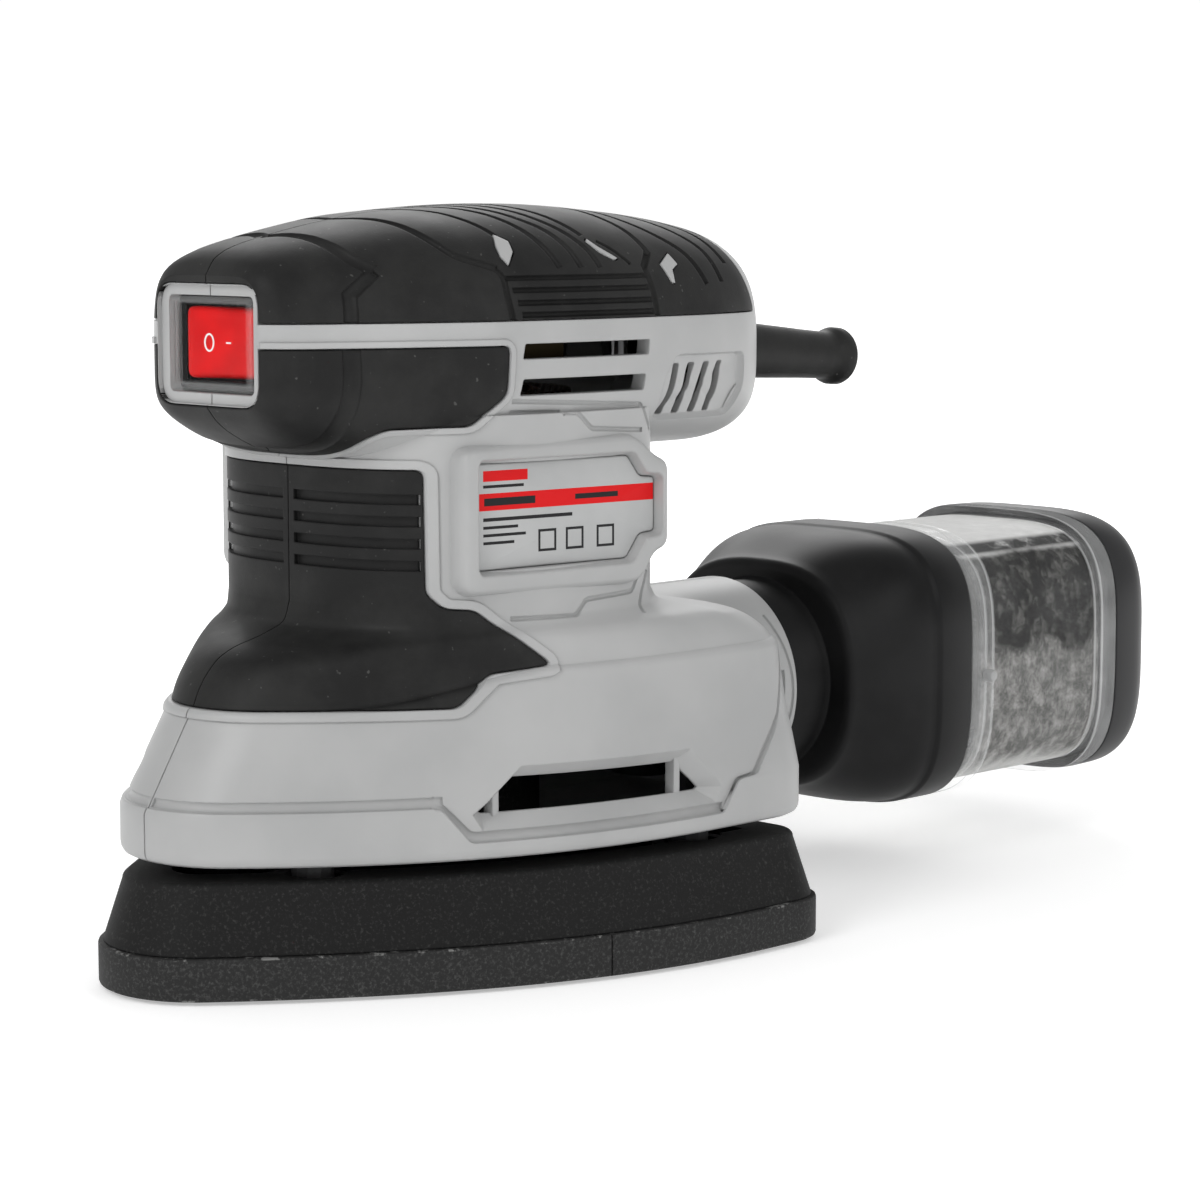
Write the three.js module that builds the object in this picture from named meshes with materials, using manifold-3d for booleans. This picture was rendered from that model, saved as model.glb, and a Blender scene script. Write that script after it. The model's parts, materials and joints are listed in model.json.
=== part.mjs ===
// Palm orbital sander with a teardrop pad and a clear dust box, in millimetres.
// +Z is up, -Y is the nose with the switch, +X is the tool's left side.
// The motor axis is the Z axis and the sanding face lies at Z = 0.
import * as THREE from 'three';
import { mergeVertices } from 'three/addons/utils/BufferGeometryUtils.js';
import Module from 'manifold-3d';

const wasm = await Module();
wasm.setup();

// ---- Driving dimensions -------------------------------------------------
const gap = 0.3;          // clearance between neighbouring solids
const wall = 2.6;         // housing shell
const gripSkin = 1.4;     // rubber over the shell
const sectionCount = 20;  // points round a head or box section

const pad = { halfWidth: 53, nose: -73, noseRadius: 18, noseAngle: 50, widest: 28, rear: 47, corner: 11,
  top: 18.6, flange: 7.4, wall: 2.4 };
const hook = { thickness: 1.2, hole: 4.2 };
const tipSeam = -8.5;     // where the detachable tip meets the rear plate
const foot = { halfWidth: 48, nose: -67.5, noseRadius: 20, noseAngle: 46, widest: 22, rear: 49, corner: 13,
  bottom: 21.8, step: 30, front: 46.7, back: 53 };
const neck = { halfWidth: 34.6, front: -36, middle: 8, rear: 28.5, bottom: 62.9, power: 2.9 };
const head = { halfWidth: 35, front: -53, rear: 61, bottom: 87, top: 130, middle: 104 };
const port = { radius: 20.2, bore: 17.2, z: 38, rear: 72.5, top: 59 };
const strip = { low: 106.4, high: 110.8 };
const bezel = { halfWidth: 13.4, halfHeight: 10.8, z: 107.4, depth: 4.5 };
const switchHole = { halfWidth: 10.2, halfHeight: 8.1, z: 107 };
const rocker = { pivot: -46.5, halfWidth: 8.2, halfHeight: 5.5, tilt: 9 };
const shaft = { radius: 4, top: 121.5, bottom: 31 };
const orbit = 1;          // eccentric offset, half the orbit diameter
const stator = { halfX: 26, halfY: 23, low: 70, high: 94, bore: 16 };
const armature = { radius: 15, low: 70, high: 94 };
const commutator = { radius: 9.5, low: 100.5, high: 111.5 };
const bearing = { upper: { radius: 9.5, low: 113, high: 119 }, lower: { radius: 13, low: 54.3, high: 62.3 } };
const fan = { radius: 31, low: 42.5, high: 51 };
const eccentric = { journal: 5, low: 22.6, high: 30.6, radius: 19, top: 40.5 };
const padBearing = { radius: 13 };
const leg = { radius: 3.6, top: 43, bottom: 10.4, sway: 1.5 };
const legPlaces = [[15, -44], [37, 24]];
const legSides = 10;
const baffle = { radius: 34, low: 52, thick: 2 };
const boot = { start: 56, length: 50, radius: 5.8, bore: 3.6, z: 103.4, drop: 3.8 };
const box = { front: 82, taper: 102, seam: 112.5, capSeam: 160, rear: 174, halfWidth: 30, halfHeight: 27.5,
  z: 38.5, wall: 2.2, clearWall: 1.8, lip: 6, faceHalfWidth: 25, faceHalfHeight: 22.5, power: 3 };
const label = { out: 36.6, thick: 0.8, rear: 18, turn: 7 };
const screw = { radius: 1.7, head: 3.1, boss: 4 };
// Screw bosses: place in side view, and how far from the seam the screw head sits.
const bossPlaces = [[-57, 35, 7], [-31, 118, 16], [36, 117.5, 16], [46, 93.5, 16], [39, 47, 22]];

// ---- Solid helpers ------------------------------------------------------
const solid = (geometry) => {
  const bare = geometry.clone();
  bare.deleteAttribute('normal');
  bare.deleteAttribute('uv');
  const merged = mergeVertices(bare, 1e-4);
  return new wasm.Manifold(new wasm.Mesh({
    numProp: 3,
    vertProperties: new Float32Array(merged.attributes.position.array),
    triVerts: new Uint32Array(merged.index.array),
  }));
};

const toGeometry = (manifold) => {
  const mesh = manifold.getMesh();
  const geometry = new THREE.BufferGeometry();
  geometry.setAttribute('position', new THREE.BufferAttribute(mesh.vertProperties, 3));
  geometry.setIndex(new THREE.BufferAttribute(mesh.triVerts, 1));
  geometry.computeVertexNormals();
  return geometry;
};

const union = (solids) => solids.reduce((sum, part) => sum.add(part));

const block = (low, high) => {
  const size = high.map((value, i) => value - low[i]);
  const geometry = new THREE.BoxGeometry(...size);
  geometry.translate(...low.map((value, i) => value + size[i] / 2));
  return solid(geometry);
};

// A cylinder along Z, from one height to another.
const rod = (radius, low, high, x = 0, y = 0, sides = 16) => {
  const geometry = new THREE.CylinderGeometry(radius, radius, high - low, sides);
  geometry.rotateX(Math.PI / 2);
  geometry.translate(x, y, (low + high) / 2);
  return solid(geometry);
};

// A cylinder along X or along Y.
const rodX = (radius, low, high, y, z, sides = 10) => {
  const geometry = new THREE.CylinderGeometry(radius, radius, high - low, sides);
  geometry.rotateZ(Math.PI / 2);
  geometry.translate((low + high) / 2, y, z);
  return solid(geometry);
};
const rodY = (radius, low, high, x, z, sides = 20) => {
  const geometry = new THREE.CylinderGeometry(radius, radius, high - low, sides);
  geometry.translate(x, (low + high) / 2, z);
  return solid(geometry);
};

const ring = (outer, inner, low, high, sides = 16) =>
  rod(outer, low, high, 0, 0, sides).subtract(rod(inner, low - 1, high + 1, 0, 0, sides));

// An outline in the Y-Z plane, pushed through along X.
const sidePrism = (points, low, high) => {
  const shape = new THREE.Shape(points.map(([y, z]) => new THREE.Vector2(y, z)));
  const geometry = new THREE.ExtrudeGeometry(shape, { depth: high - low, bevelEnabled: false });
  geometry.applyMatrix4(new THREE.Matrix4().set(0, 0, 1, low, 1, 0, 0, 0, 0, 1, 0, 0, 0, 0, 0, 1));
  return solid(geometry);
};

// An outline in the X-Y plane, raised along Z.
const planPrism = (points, low, high) => {
  const shape = new THREE.Shape(points.map(([x, y]) => new THREE.Vector2(x, y)));
  const geometry = new THREE.ExtrudeGeometry(shape, { depth: high - low, bevelEnabled: false });
  geometry.translate(0, 0, low);
  return solid(geometry);
};

// A closed skin over rings of equal point count, with a fan on each end.
const loft = (rings) => {
  const count = rings[0].length;
  const points = rings.flat();
  const faces = [];
  for (let k = 0; k < rings.length - 1; k += 1) {
    for (let i = 0; i < count; i += 1) {
      const a = k * count + i;
      const b = k * count + ((i + 1) % count);
      faces.push(a, b, b + count, a, b + count, a + count);
    }
  }
  const addCap = (start, reversed) => {
    const middle = new THREE.Vector3();
    for (let i = 0; i < count; i += 1) middle.addScaledVector(points[start + i], 1 / count);
    const hub = points.push(middle) - 1;
    for (let i = 0; i < count; i += 1) {
      const a = start + i;
      const b = start + ((i + 1) % count);
      faces.push(...(reversed ? [hub, b, a] : [hub, a, b]));
    }
  };
  addCap(0, true);
  addCap((rings.length - 1) * count, false);
  const geometry = new THREE.BufferGeometry().setFromPoints(points);
  geometry.setIndex(faces);
  return solid(geometry);
};

// ---- Outlines -----------------------------------------------------------
// Moves each edge of a closed outline inward by the distance, with mitred corners.
const shrink = (points, distance) => {
  const turn = THREE.ShapeUtils.area(points) > 0 ? 1 : -1;
  const normals = points.map((point, i) => {
    const along = points[(i + 1) % points.length].clone().sub(point).normalize();
    return new THREE.Vector2(-along.y * turn, along.x * turn);
  });
  return points.map((point, i) => {
    const before = normals[(i + points.length - 1) % points.length];
    const mitre = before.clone().add(normals[i]).divideScalar(Math.max(0.5, 1 + before.dot(normals[i])));
    return point.clone().addScaledVector(mitre, distance);
  });
};

// A teardrop: a round nose, two bowed flanks, and a straight rear with round corners.
const teardrop = ({ halfWidth, nose, noseRadius, noseAngle, widest, rear, corner }) => {
  const angle = THREE.MathUtils.degToRad(noseAngle);
  const arc = (x, y, radius, from, to, steps) =>
    new THREE.EllipseCurve(x, y, radius, radius, from, to).getPoints(steps);
  const tip = arc(0, nose + noseRadius, noseRadius, -Math.PI / 2, angle - Math.PI / 2, 2);
  const start = tip[tip.length - 1];
  const bend = new THREE.Vector2(halfWidth, start.y + (halfWidth - start.x) * Math.tan(angle));
  const flank = new THREE.QuadraticBezierCurve(start, bend, new THREE.Vector2(halfWidth, widest)).getPoints(6);
  const rearCorner = arc(halfWidth - corner, rear - corner, corner, 0, Math.PI / 2, 3);
  const right = [...tip, ...flank.slice(1), ...rearCorner, new THREE.Vector2(0, rear)];
  const left = right.slice(1, -1).reverse().map((p) => new THREE.Vector2(-p.x, p.y));
  return [...right, ...left];
};

// The neck's outline, with one point in the direction of each point of another outline.
const neckOutline = (around) => around.map(({ x, y }) => {
  const angle = Math.atan2(y - neck.middle, x);
  const span = y < neck.middle ? neck.middle - neck.front : neck.rear - neck.middle;
  const across = Math.abs(Math.cos(angle) / neck.halfWidth) ** neck.power;
  const along = Math.abs(Math.sin(angle) / span) ** neck.power;
  const radius = (across + along) ** (-1 / neck.power);
  return new THREE.Vector2(radius * Math.cos(angle), neck.middle + radius * Math.sin(angle));
});

// A section across Y: a soft rectangle between two heights.
const section = (y, halfWidth, low, high, power, middle = (low + high) / 2, lowPower = power) => {
  const points = [];
  for (let i = 0; i < sectionCount; i += 1) {
    const angle = (i / sectionCount) * Math.PI * 2;
    const c = Math.cos(angle);
    const s = Math.sin(angle);
    const bend = 2 / (s > 0 ? power : lowPower);
    const rise = s > 0 ? high - middle : middle - low;
    points.push(new THREE.Vector3(
      -halfWidth * Math.sign(c) * Math.abs(c) ** bend,
      y,
      middle + rise * Math.sign(s) * Math.abs(s) ** bend,
    ));
  }
  return points;
};

const flatRing = (points, z) => points.map((p) => new THREE.Vector3(p.x, p.y, z));
const scaled = (points, x, y) => points.map((p) => new THREE.Vector2(p.x * x, p.y * y));

// ---- Housing volumes; each takes how far it is set in from the outside --
// The inside of the shell needs only every second point of its rings.
const hullLoft = (rings, inset) =>
  loft(inset < wall ? rings : rings.map((points) => points.filter((_, i) => i % 2 === 0)));

const footPlan = teardrop(foot);
const neckPlan = neckOutline(footPlan);
const shoulderPlan = scaled(footPlan, 0.895, 0.862);

const shoulderHeight = (y) => {
  const t = THREE.MathUtils.smoothstep(y, foot.nose * 0.8, -8);
  return foot.front + (foot.back - foot.front) * t;
};

const footVolume = (inset) => {
  const plans = [footPlan, footPlan, shrink(footPlan, 0.5), shoulderPlan, shrink(shoulderPlan, 1.6)];
  const heights = [
    () => foot.bottom - (inset > 0 ? 2 : 0),
    () => foot.step - inset * 0.2,
    () => foot.step + 0.5 - inset * 0.2,
    (y) => shoulderHeight(y) - 1.6 - inset,
    (y) => shoulderHeight(y) - inset,
  ];
  return hullLoft(plans.map((plan, k) => shrink(plan, inset).map((p, i) =>
    new THREE.Vector3(p.x, p.y, heights[k](plan[i].y)))), inset);
};

const skirtVolume = (inset) => {
  const flare = [[0, 0], [0.2, 0.05], [0.46, 0.2], [0.58, 0.42], [0.68, 0.72], [0.8, 0.94], [1, 1]];
  const base = shrink(shoulderPlan, 2.4);
  const rings = flare.map(([rise, share]) => {
    const plan = base.map((p, i) => p.clone().lerp(neckPlan[i], share));
    const inner = shrink(plan, inset);
    return inner.map((p, i) => {
      const start = shoulderHeight(base[i].y) - 0.4;
      return new THREE.Vector3(p.x, p.y, start + (neck.bottom - start) * rise - inset);
    });
  });
  rings.unshift(shrink(base, inset + 2).map((p, i) => new THREE.Vector3(p.x, p.y, rings[0][i].z - 6)));
  rings.push(flatRing(shrink(neckPlan, inset), head.bottom + 8));
  return hullLoft(rings, inset);
};

// Along the head: distance from the front, half width, underside, top and squareness.
const headStations = [
  [0, 13.6, 96.4, 118.4, 6], [1.8, 16.6, 94.2, 121, 4], [5.5, 19.6, 91.6, 122.9, 3.2],
  [12, 23.2, 88.8, 124.6, 2.9], [22, 28, 87, 126.6, 2.7], [36, 32.8, 87, 128.6, 2.7],
  [62, 35, 87, 130, 2.7], [82, 34, 87, 128.6, 2.7], [97, 29.8, 87.4, 126.2, 2.8],
  [106, 23.8, 89, 123.2, 2.8], [111, 17, 91.6, 119.6, 2.8], [114, 9.5, 96, 114, 2.4],
];

const headVolume = (inset) => {
  const last = headStations.length - 1;
  const share = (head.rear - head.front) / headStations[last][0];
  const widest = headStations.find(([, , , high]) => high === 130);
  return hullLoft(headStations.map(([along, halfWidth, low, high, power], k) => {
    const nearEnd = k < 3 || k > last - 3 ? 0.9 : 0;
    const endShift = inset * nearEnd * Math.sign(last / 2 - k);
    return section(head.front + along * share + endShift, (halfWidth * head.halfWidth) / widest[1] - inset,
      low + head.bottom - widest[2] + inset, high + head.top - widest[3] - inset, power, head.middle, power + 0.5);
  }), inset);
};

const tunnelStations = (inset) => [
  section(4, 37 - inset, 34, port.top - 1 - inset, 2.6),
  section(26, 38 - inset, 30, port.top - inset, 2.5),
  section(40, 33 - inset, 22, port.top - 0.2 - inset, 2.3),
  section(52, port.radius + 0.6 - inset, port.z - port.radius + inset, port.z + port.radius - inset, 2),
  section(port.rear + (inset > 0 ? 2 : 0), port.radius - inset, port.z - port.radius + inset,
    port.z + port.radius - inset, 2),
];
const tunnelVolume = (inset) => hullLoft(tunnelStations(inset), inset);

const bodyVolume = (inset) =>
  union([footVolume(inset), skirtVolume(inset), headVolume(inset), tunnelVolume(inset)]);

// ---- Regions in side view ----------------------------------------------
const reach = 80;
const growOutline = (points, distance) =>
  shrink(points.map(([y, z]) => new THREE.Vector2(y, z)), -distance).map((p) => [p.x, p.y]);

const topRegion = [[-62, strip.high], [44, strip.high], [40, 122], [38, 140], [-62, 140]];
const chinRegion = [[-62, strip.low], [-62, 80], [-39.4, 80], [-37.6, 91.4], [-35, 93.2], [-21.8, 93.4], [-15.8, 98.4],
  [-15.4, strip.low]];
const neckRegion = [[-70, 86], [-70, 46.9], [-27, 46.9], [-21, 52.6], [-11.5, 53.1], [-22, 62], [-27.4, 62.4],
  [-28.4, 65.4], [-28.4, 86]];

const bezelZone = (grow) => block(
  [-bezel.halfWidth - grow, head.front - 5, bezel.z - bezel.halfHeight - grow],
  [bezel.halfWidth + grow, head.front + bezel.depth + grow, bezel.z + bezel.halfHeight + grow],
);

const body = bodyVolume(0);
const underGrip = bodyVolume(gripSkin);
const underRecess = bodyVolume(gripSkin + 2 * gap);
const cavity = bodyVolume(wall + 0.4);
const gripShell = body.subtract(underGrip);

const half = (side, far = reach * 2) => (side > 0
  ? block([gap / 2, -far, -far], [far, far, far])
  : block([-far, -far, -far], [-gap / 2, far, far]));

const gripPiece = (region, side) => gripShell
  .intersect(sidePrism(region, -reach, reach))
  .subtract(bezelZone(0))
  .intersect(half(side));

const gripRecess = (region) => sidePrism(growOutline(region, gap), -reach, reach)
  .subtract(underRecess)
  .subtract(bezelZone(-gap));

// ---- Housing shells -----------------------------------------------------
const slotRow = () => {
  const slots = [];
  for (const [low, high, rear] of [[103.4, 106.1, 18.5], [97.6, 100.4, 16.5]]) {
    slots.push(sidePrism([[rear - 27.5, low], [rear, low], [rear, high], [rear - 27.5, high]], -reach, reach));
  }
  for (let i = 0; i < 4; i += 1) {
    const y = 25 + i * 4.6;
    slots.push(sidePrism([[y, 93.8], [y + 1.9, 93.8], [y + 3.6, 103.4], [y + 1.7, 103.4]], -reach, reach));
  }
  return union(slots);
};

const windowOutline = [[-24.4, 29.4], [18.3, 28.8], [13, 34.4], [-18.8, 34.9]];
const baseWindow = () => sidePrism(windowOutline, -reach, reach);

const labelOutline = [[-25, 89.6], [9.5, 90.2], [17.5, 84], [18, 71.6], [10.5, 65.4], [-25, 66.3]];
const labelRecess = [[-22.5, 87.4], [8.6, 88], [15.8, 82.6], [16, 72.6], [9, 67.5], [-22.5, 68.4]];
const mirrorX = (part) => part.mirror([1, 0, 0]);
const bothSides = (part) => part.add(mirrorX(part));

// The label faces a little forward, turned about its rear edge.
const labelSolid = (outline, low, high) => sidePrism(outline, low - label.out, high - label.out)
  .translate([0, -label.rear, 0])
  .rotate([0, 0, -label.turn])
  .translate([label.out, label.rear, 0]);
const labelBoss = () => bothSides(labelSolid(labelOutline, label.out - 9, label.out));
const labelPocket = (grow) =>
  bothSides(labelSolid(growOutline(labelRecess, grow), label.out - label.thick - grow, label.out + 5));

const bosses = () => union(bossPlaces.map(([y, z]) => rodX(screw.boss, -reach, reach, y, z)));
const screwHoles = () => union(bossPlaces.map(([y, z, seat]) =>
  rodX(screw.radius + gap, -reach, seat * 0.75, y, z).add(rodX(screw.head + gap, -reach, -seat, y, z))));

const legSleeves = (radius, low) => union(legPlaces.flatMap(([x, y]) =>
  [rod(radius, low, leg.top + 4, x, y, legSides), rod(radius, low, leg.top + 4, -x, y, legSides)]));
const legRibs = () => union(legPlaces.flatMap(([x, y]) => {
  const geometry = new THREE.BoxGeometry(30, 2.4, 12);
  geometry.translate(15, 0, leg.top - 4);
  geometry.rotateZ(Math.atan2(y, x));
  geometry.translate(x, y, 0);
  return [solid(geometry), mirrorX(solid(geometry))];
}));

const motorSeats = () => {
  const seat = ring(60, baffle.radius - 1.5, baffle.low + baffle.thick + gap, baffle.low + baffle.thick + gap + 2.4);
  const topSeat = ring(60, bearing.upper.radius + gap, bearing.upper.low + 1, bearing.upper.high + 0.5)
    .intersect(block([-60, -14, 100], [60, 14, 130]));
  const statorRibs = ring(60, 0.5, stator.low + 4, stator.high - 4)
    .subtract(statorBlock(gap))
    .intersect(union([block([-60, -2, 60], [60, 2, 100]), block([-2, -60, 60], [2, 60, 100])]));
  return union([seat, topSeat, statorRibs]);
};

const statorBlock = (grow) => {
  const shape = [];
  const corner = 2 / 5;
  const statorSides = 24;
  for (let i = 0; i < statorSides; i += 1) {
    const c = Math.cos((i / statorSides) * Math.PI * 2);
    const s = Math.sin((i / statorSides) * Math.PI * 2);
    shape.push([(stator.halfX + grow) * Math.sign(c) * Math.abs(c) ** corner,
      (stator.halfY + grow) * Math.sign(s) * Math.abs(s) ** corner]);
  }
  return planPrism(shape, stator.low - grow, stator.high + grow);
};

const bootTilt = Math.atan2(boot.drop, boot.length);
const alongBoot = (part) => part.rotate([-THREE.MathUtils.radToDeg(bootTilt), 0, 0])
  .translate([0, boot.start, boot.z]);

const fullShell = () => {
  const skin = body.add(labelBoss()).subtract(cavity);
  const inner = union([bosses(), legSleeves(leg.radius + 2.6, leg.top - 14), legRibs(), motorSeats()])
    .intersect(bodyVolume(1));
  const cuts = [
    gripRecess(topRegion), gripRecess(chinRegion), gripRecess(neckRegion),
    slotRow(), baseWindow(), labelPocket(gap), screwHoles(),
    legSleeves(leg.radius + gap, leg.bottom),
    block([-switchHole.halfWidth, head.front - 5, switchHole.z - switchHole.halfHeight],
      [switchHole.halfWidth, head.front + 12, switchHole.z + switchHole.halfHeight]),
    rodY(port.bore, 40, port.rear + 5, 0, port.z),
    alongBoot(rodY(boot.radius + 1 + gap, -12, 20, 0, 0)),
    alongBoot(rodY(boot.radius + 3 + gap, -8 - gap, -3.6 + gap, 0, 0)),
    rod(baffle.radius + gap, baffle.low - gap, baffle.low + baffle.thick + gap, 0, 0, 20),
    rod(fan.radius + 2, fan.low - 12, fan.high + 0.5, 0, 0, 20),
    rod(eccentric.radius + 3, foot.bottom - 4, eccentric.top + 1, 0, 0, 20),
    rod(bearing.upper.radius + gap, bearing.upper.low, bearing.upper.high, 0, 0),
    block([-26, -12, 98], [26, 12, bearing.upper.low - 0.2]),
  ];
  return skin.add(inner).subtract(union(cuts));
};
const shell = fullShell();

// Only the largest closed piece of a split result is the part itself.
const largest = (part) => part.decompose().sort((a, b) => b.volume() - a.volume())[0];

// ---- Scene graph --------------------------------------------------------
const sander = new THREE.Group();
const colours = {
  grey: [0xb4b5b5, 0.5, 0], black: [0x232323, 0.7, 0], red: [0xd81c1c, 0.35, 0],
  clear: [0xdfe3e4, 0.1, 0], steel: [0xa8aaad, 0.35, 1], copper: [0xb06a3c, 0.4, 1],
  plate: [0xc4c5c5, 0.45, 0], foam: [0x2b2b2b, 0.9, 0], fibre: [0x8f8b83, 0.95, 0],
  nylon: [0x3a3a3c, 0.55, 0], carbon: [0x1b1b1b, 0.8, 0], brass: [0xb9923f, 0.35, 1],
};
const add = (name, part, colour) => {
  const [hex, roughness, metalness] = colours[colour];
  const material = new THREE.MeshStandardMaterial({ color: hex, roughness, metalness });
  const mesh = new THREE.Mesh(toGeometry(part), material);
  mesh.name = name;
  sander.add(mesh);
};

for (const [side, word] of [[1, 'left'], [-1, 'right']]) {
  add(`housing_${word}`, largest(shell.intersect(half(side))), 'grey');
  add(`top_grip_${word}`, largest(gripPiece(topRegion, side)), 'black');
  add(`chin_grip_${word}`, largest(gripPiece(chinRegion, side)), 'black');
  add(`neck_grip_${word}`, largest(gripPiece(neckRegion, side)), 'black');
  const plate = labelSolid(labelRecess, label.out - label.thick, label.out - 0.1);
  add(`label_plate_${word}`, side > 0 ? plate : mirrorX(plate), 'plate');
}

// Housing screws, all driven from the right side.
bossPlaces.forEach(([y, z, seat], k) => {
  const pin = rodX(screw.radius, -seat - 1, seat * 0.75 - 1, y, z).add(rodX(screw.head, -seat - 2.4, -seat - gap, y, z));
  add(`housing_screw_${k + 1}`, pin, 'steel');
});

// ---- Switch -------------------------------------------------------------
const switchBody = () => {
  const flange = block([-9.9, head.front + 2.6, switchHole.z - 7.4], [9.9, head.front + 4, switchHole.z + 7.4]);
  const can = block([-9.6, head.front + 3.9, switchHole.z - 6.6], [9.6, head.front + 19, switchHole.z + 6.6]);
  const well = block([-rocker.halfWidth - 0.8, head.front - 1, switchHole.z - rocker.halfHeight - gap],
    [rocker.halfWidth + 0.8, head.front + 11, switchHole.z + rocker.halfHeight + gap]);
  const blades = [-5, 5].map((x) => block([x - 2.4, head.front + 18.9, switchHole.z - 0.4],
    [x + 2.4, head.front + 26, switchHole.z + 0.4]));
  return union([flange, can, ...blades]).subtract(well);
};
add('switch_body', switchBody(), 'black');

const rockerKey = () => {
  const w = rocker.halfWidth;
  const outline = [[-w, -3.4], [0, -2.6], [w, -3.4], [w, -1.2], [3, 2.4], [-3, 2.4], [-w, -1.2]];
  const { z } = switchHole;
  return planPrism(outline, z - rocker.halfHeight, z + rocker.halfHeight)
    .rotate([0, 0, rocker.tilt])
    .translate([0, rocker.pivot, 0]);
};
add('rocker_key', rockerKey(), 'red');

const switchCover = () => {
  const { halfWidth, halfHeight, z } = switchHole;
  const outer = block([-halfWidth + gap, head.front - 0.7, z - halfHeight + gap],
    [halfWidth - gap, head.front + 2.3, z + halfHeight - gap]);
  const inner = block([-halfWidth + gap + 1, head.front, z - halfHeight + gap + 1],
    [halfWidth - gap - 1, head.front + 5, z + halfHeight - gap - 1]);
  return outer.subtract(inner);
};
add('switch_cover', switchCover(), 'clear');

// ---- Cord exit ----------------------------------------------------------
const cordBoot = () => {
  const r = boot.radius;
  const end = boot.length;
  const profile = [[boot.bore, -11], [r + 0.4, -11], [r + 0.4, -8], [r + 3, -8], [r + 3, -3.6], [r + 0.6, -3.6],
    [r + 0.2, 8], [r - 0.6, 30], [r - 1.1, end - 6], [r - 1, end - 3.6], [r - 0.2, end - 2.6], [r - 0.2, end],
    [boot.bore, end]];
  const geometry = new THREE.LatheGeometry([...profile, profile[0]].map(([x, y]) => new THREE.Vector2(x, y)), 14);
  return alongBoot(solid(geometry));
};
add('cord_boot', cordBoot(), 'black');

const clampPlace = { y: 36, z: boot.z + 3.6 };
const clampBar = () => block([-11, clampPlace.y - 3, clampPlace.z], [11, clampPlace.y + 3, clampPlace.z + 4])
  .subtract(union([-8, 8].map((x) => rod(1.9, clampPlace.z - 2, clampPlace.z + 6, x, clampPlace.y, 10))));
add('cord_clamp', clampBar(), 'nylon');
for (const [side, word] of [[1, 'left'], [-1, 'right']]) {
  const thread = rod(1.5, clampPlace.z - 7, clampPlace.z + 5, side * 8, clampPlace.y, 10);
  add(`clamp_screw_${word}`, thread.add(rod(2.6, clampPlace.z + 4 + gap, clampPlace.z + 6, side * 8, clampPlace.y, 12)), 'steel');
}
add('capacitor', block([-8, -27, 113.5], [8, -17, 121]), 'plate');

// ---- Motor --------------------------------------------------------------
const coilLegs = (grow) => union([-1, 1].map((side) => block(
  [side * 19.6 - 1.8 - grow, -7 - grow, stator.low - 2], [side * 19.6 + 1.8 + grow, 7 + grow, stator.high + 2])));
add('field_stator', statorBlock(0).subtract(rod(stator.bore, 0, 200, 0, 0, 16)).subtract(coilLegs(gap)), 'steel');
const coilEnd = (low, high) => ring(22.4, 17, low, high, 24);
add('field_coils', union([
  coilEnd(stator.low - 5.4, stator.low - gap), coilLegs(0), coilEnd(stator.high + gap, stator.high + 3.6),
]), 'copper');

// Bars round the armature: the slots of the core, or the wire that lies in them.
const armatureBars = (inner, outer, width) => {
  const bars = [];
  const count = 9;
  for (let i = 0; i < count; i += 1) {
    const geometry = new THREE.BoxGeometry(outer - inner, width, armature.high - armature.low + 2);
    geometry.translate((outer + inner) / 2, 0, (armature.high + armature.low) / 2);
    geometry.rotateZ((i / count) * Math.PI * 2);
    bars.push(solid(geometry));
  }
  return union(bars);
};
const armatureCore = ring(armature.radius, shaft.radius + gap, armature.low, armature.high, 24);
add('armature_core', armatureCore.subtract(armatureBars(9, armature.radius + 2, 2.4)), 'steel');
add('armature_windings', union([
  ring(12.5, shaft.radius + gap, armature.low - 6.6, armature.low - gap),
  armatureBars(9 + gap, 12.2, 2.4 - 2 * gap),
  ring(12.5, shaft.radius + gap, armature.high + gap, commutator.low - gap),
]), 'copper');
add('commutator', ring(commutator.radius, shaft.radius + gap, commutator.low, commutator.high), 'copper');

const spindle = () => union([
  rod(shaft.radius, shaft.bottom, shaft.top, 0, 0, 20),
  rod(eccentric.journal, eccentric.low, eccentric.high, orbit, 0, 16),
  rod(eccentric.journal + 2.5, eccentric.high - 0.1, eccentric.high + 1.2, orbit, 0, 16),
]);
add('motor_shaft', spindle(), 'steel');

const counterweight = () => {
  const disc = rod(9, eccentric.high + 1.5, eccentric.top, 0, 0, 20);
  const weight = rod(eccentric.radius, eccentric.high + 1.5, eccentric.top - 2, 0, 0, 20)
    .intersect(block([-30, -30, 0], [-2, 30, 60]));
  return disc.add(weight).subtract(rod(shaft.radius + gap, 0, 80, 0, 0, 16));
};
add('counterweight', counterweight(), 'steel');

const dustFan = () => {
  const blades = [];
  const count = 9;
  for (let i = 0; i < count; i += 1) {
    const geometry = new THREE.BoxGeometry(fan.radius - 12, 1.5, fan.high - fan.low);
    geometry.rotateZ(0.5);
    geometry.translate((fan.radius + 10.5) / 2 - 1, 0, (fan.high + fan.low) / 2);
    geometry.rotateZ((i / count) * Math.PI * 2);
    blades.push(solid(geometry));
  }
  return union([rod(fan.radius - 1, fan.high - 1.6, fan.high, 0, 0, 20), rod(10, fan.low, fan.high, 0, 0, 20), ...blades])
    .subtract(rod(shaft.radius + gap, 0, 80, 0, 0, 16));
};
add('dust_fan', dustFan(), 'nylon');

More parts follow.
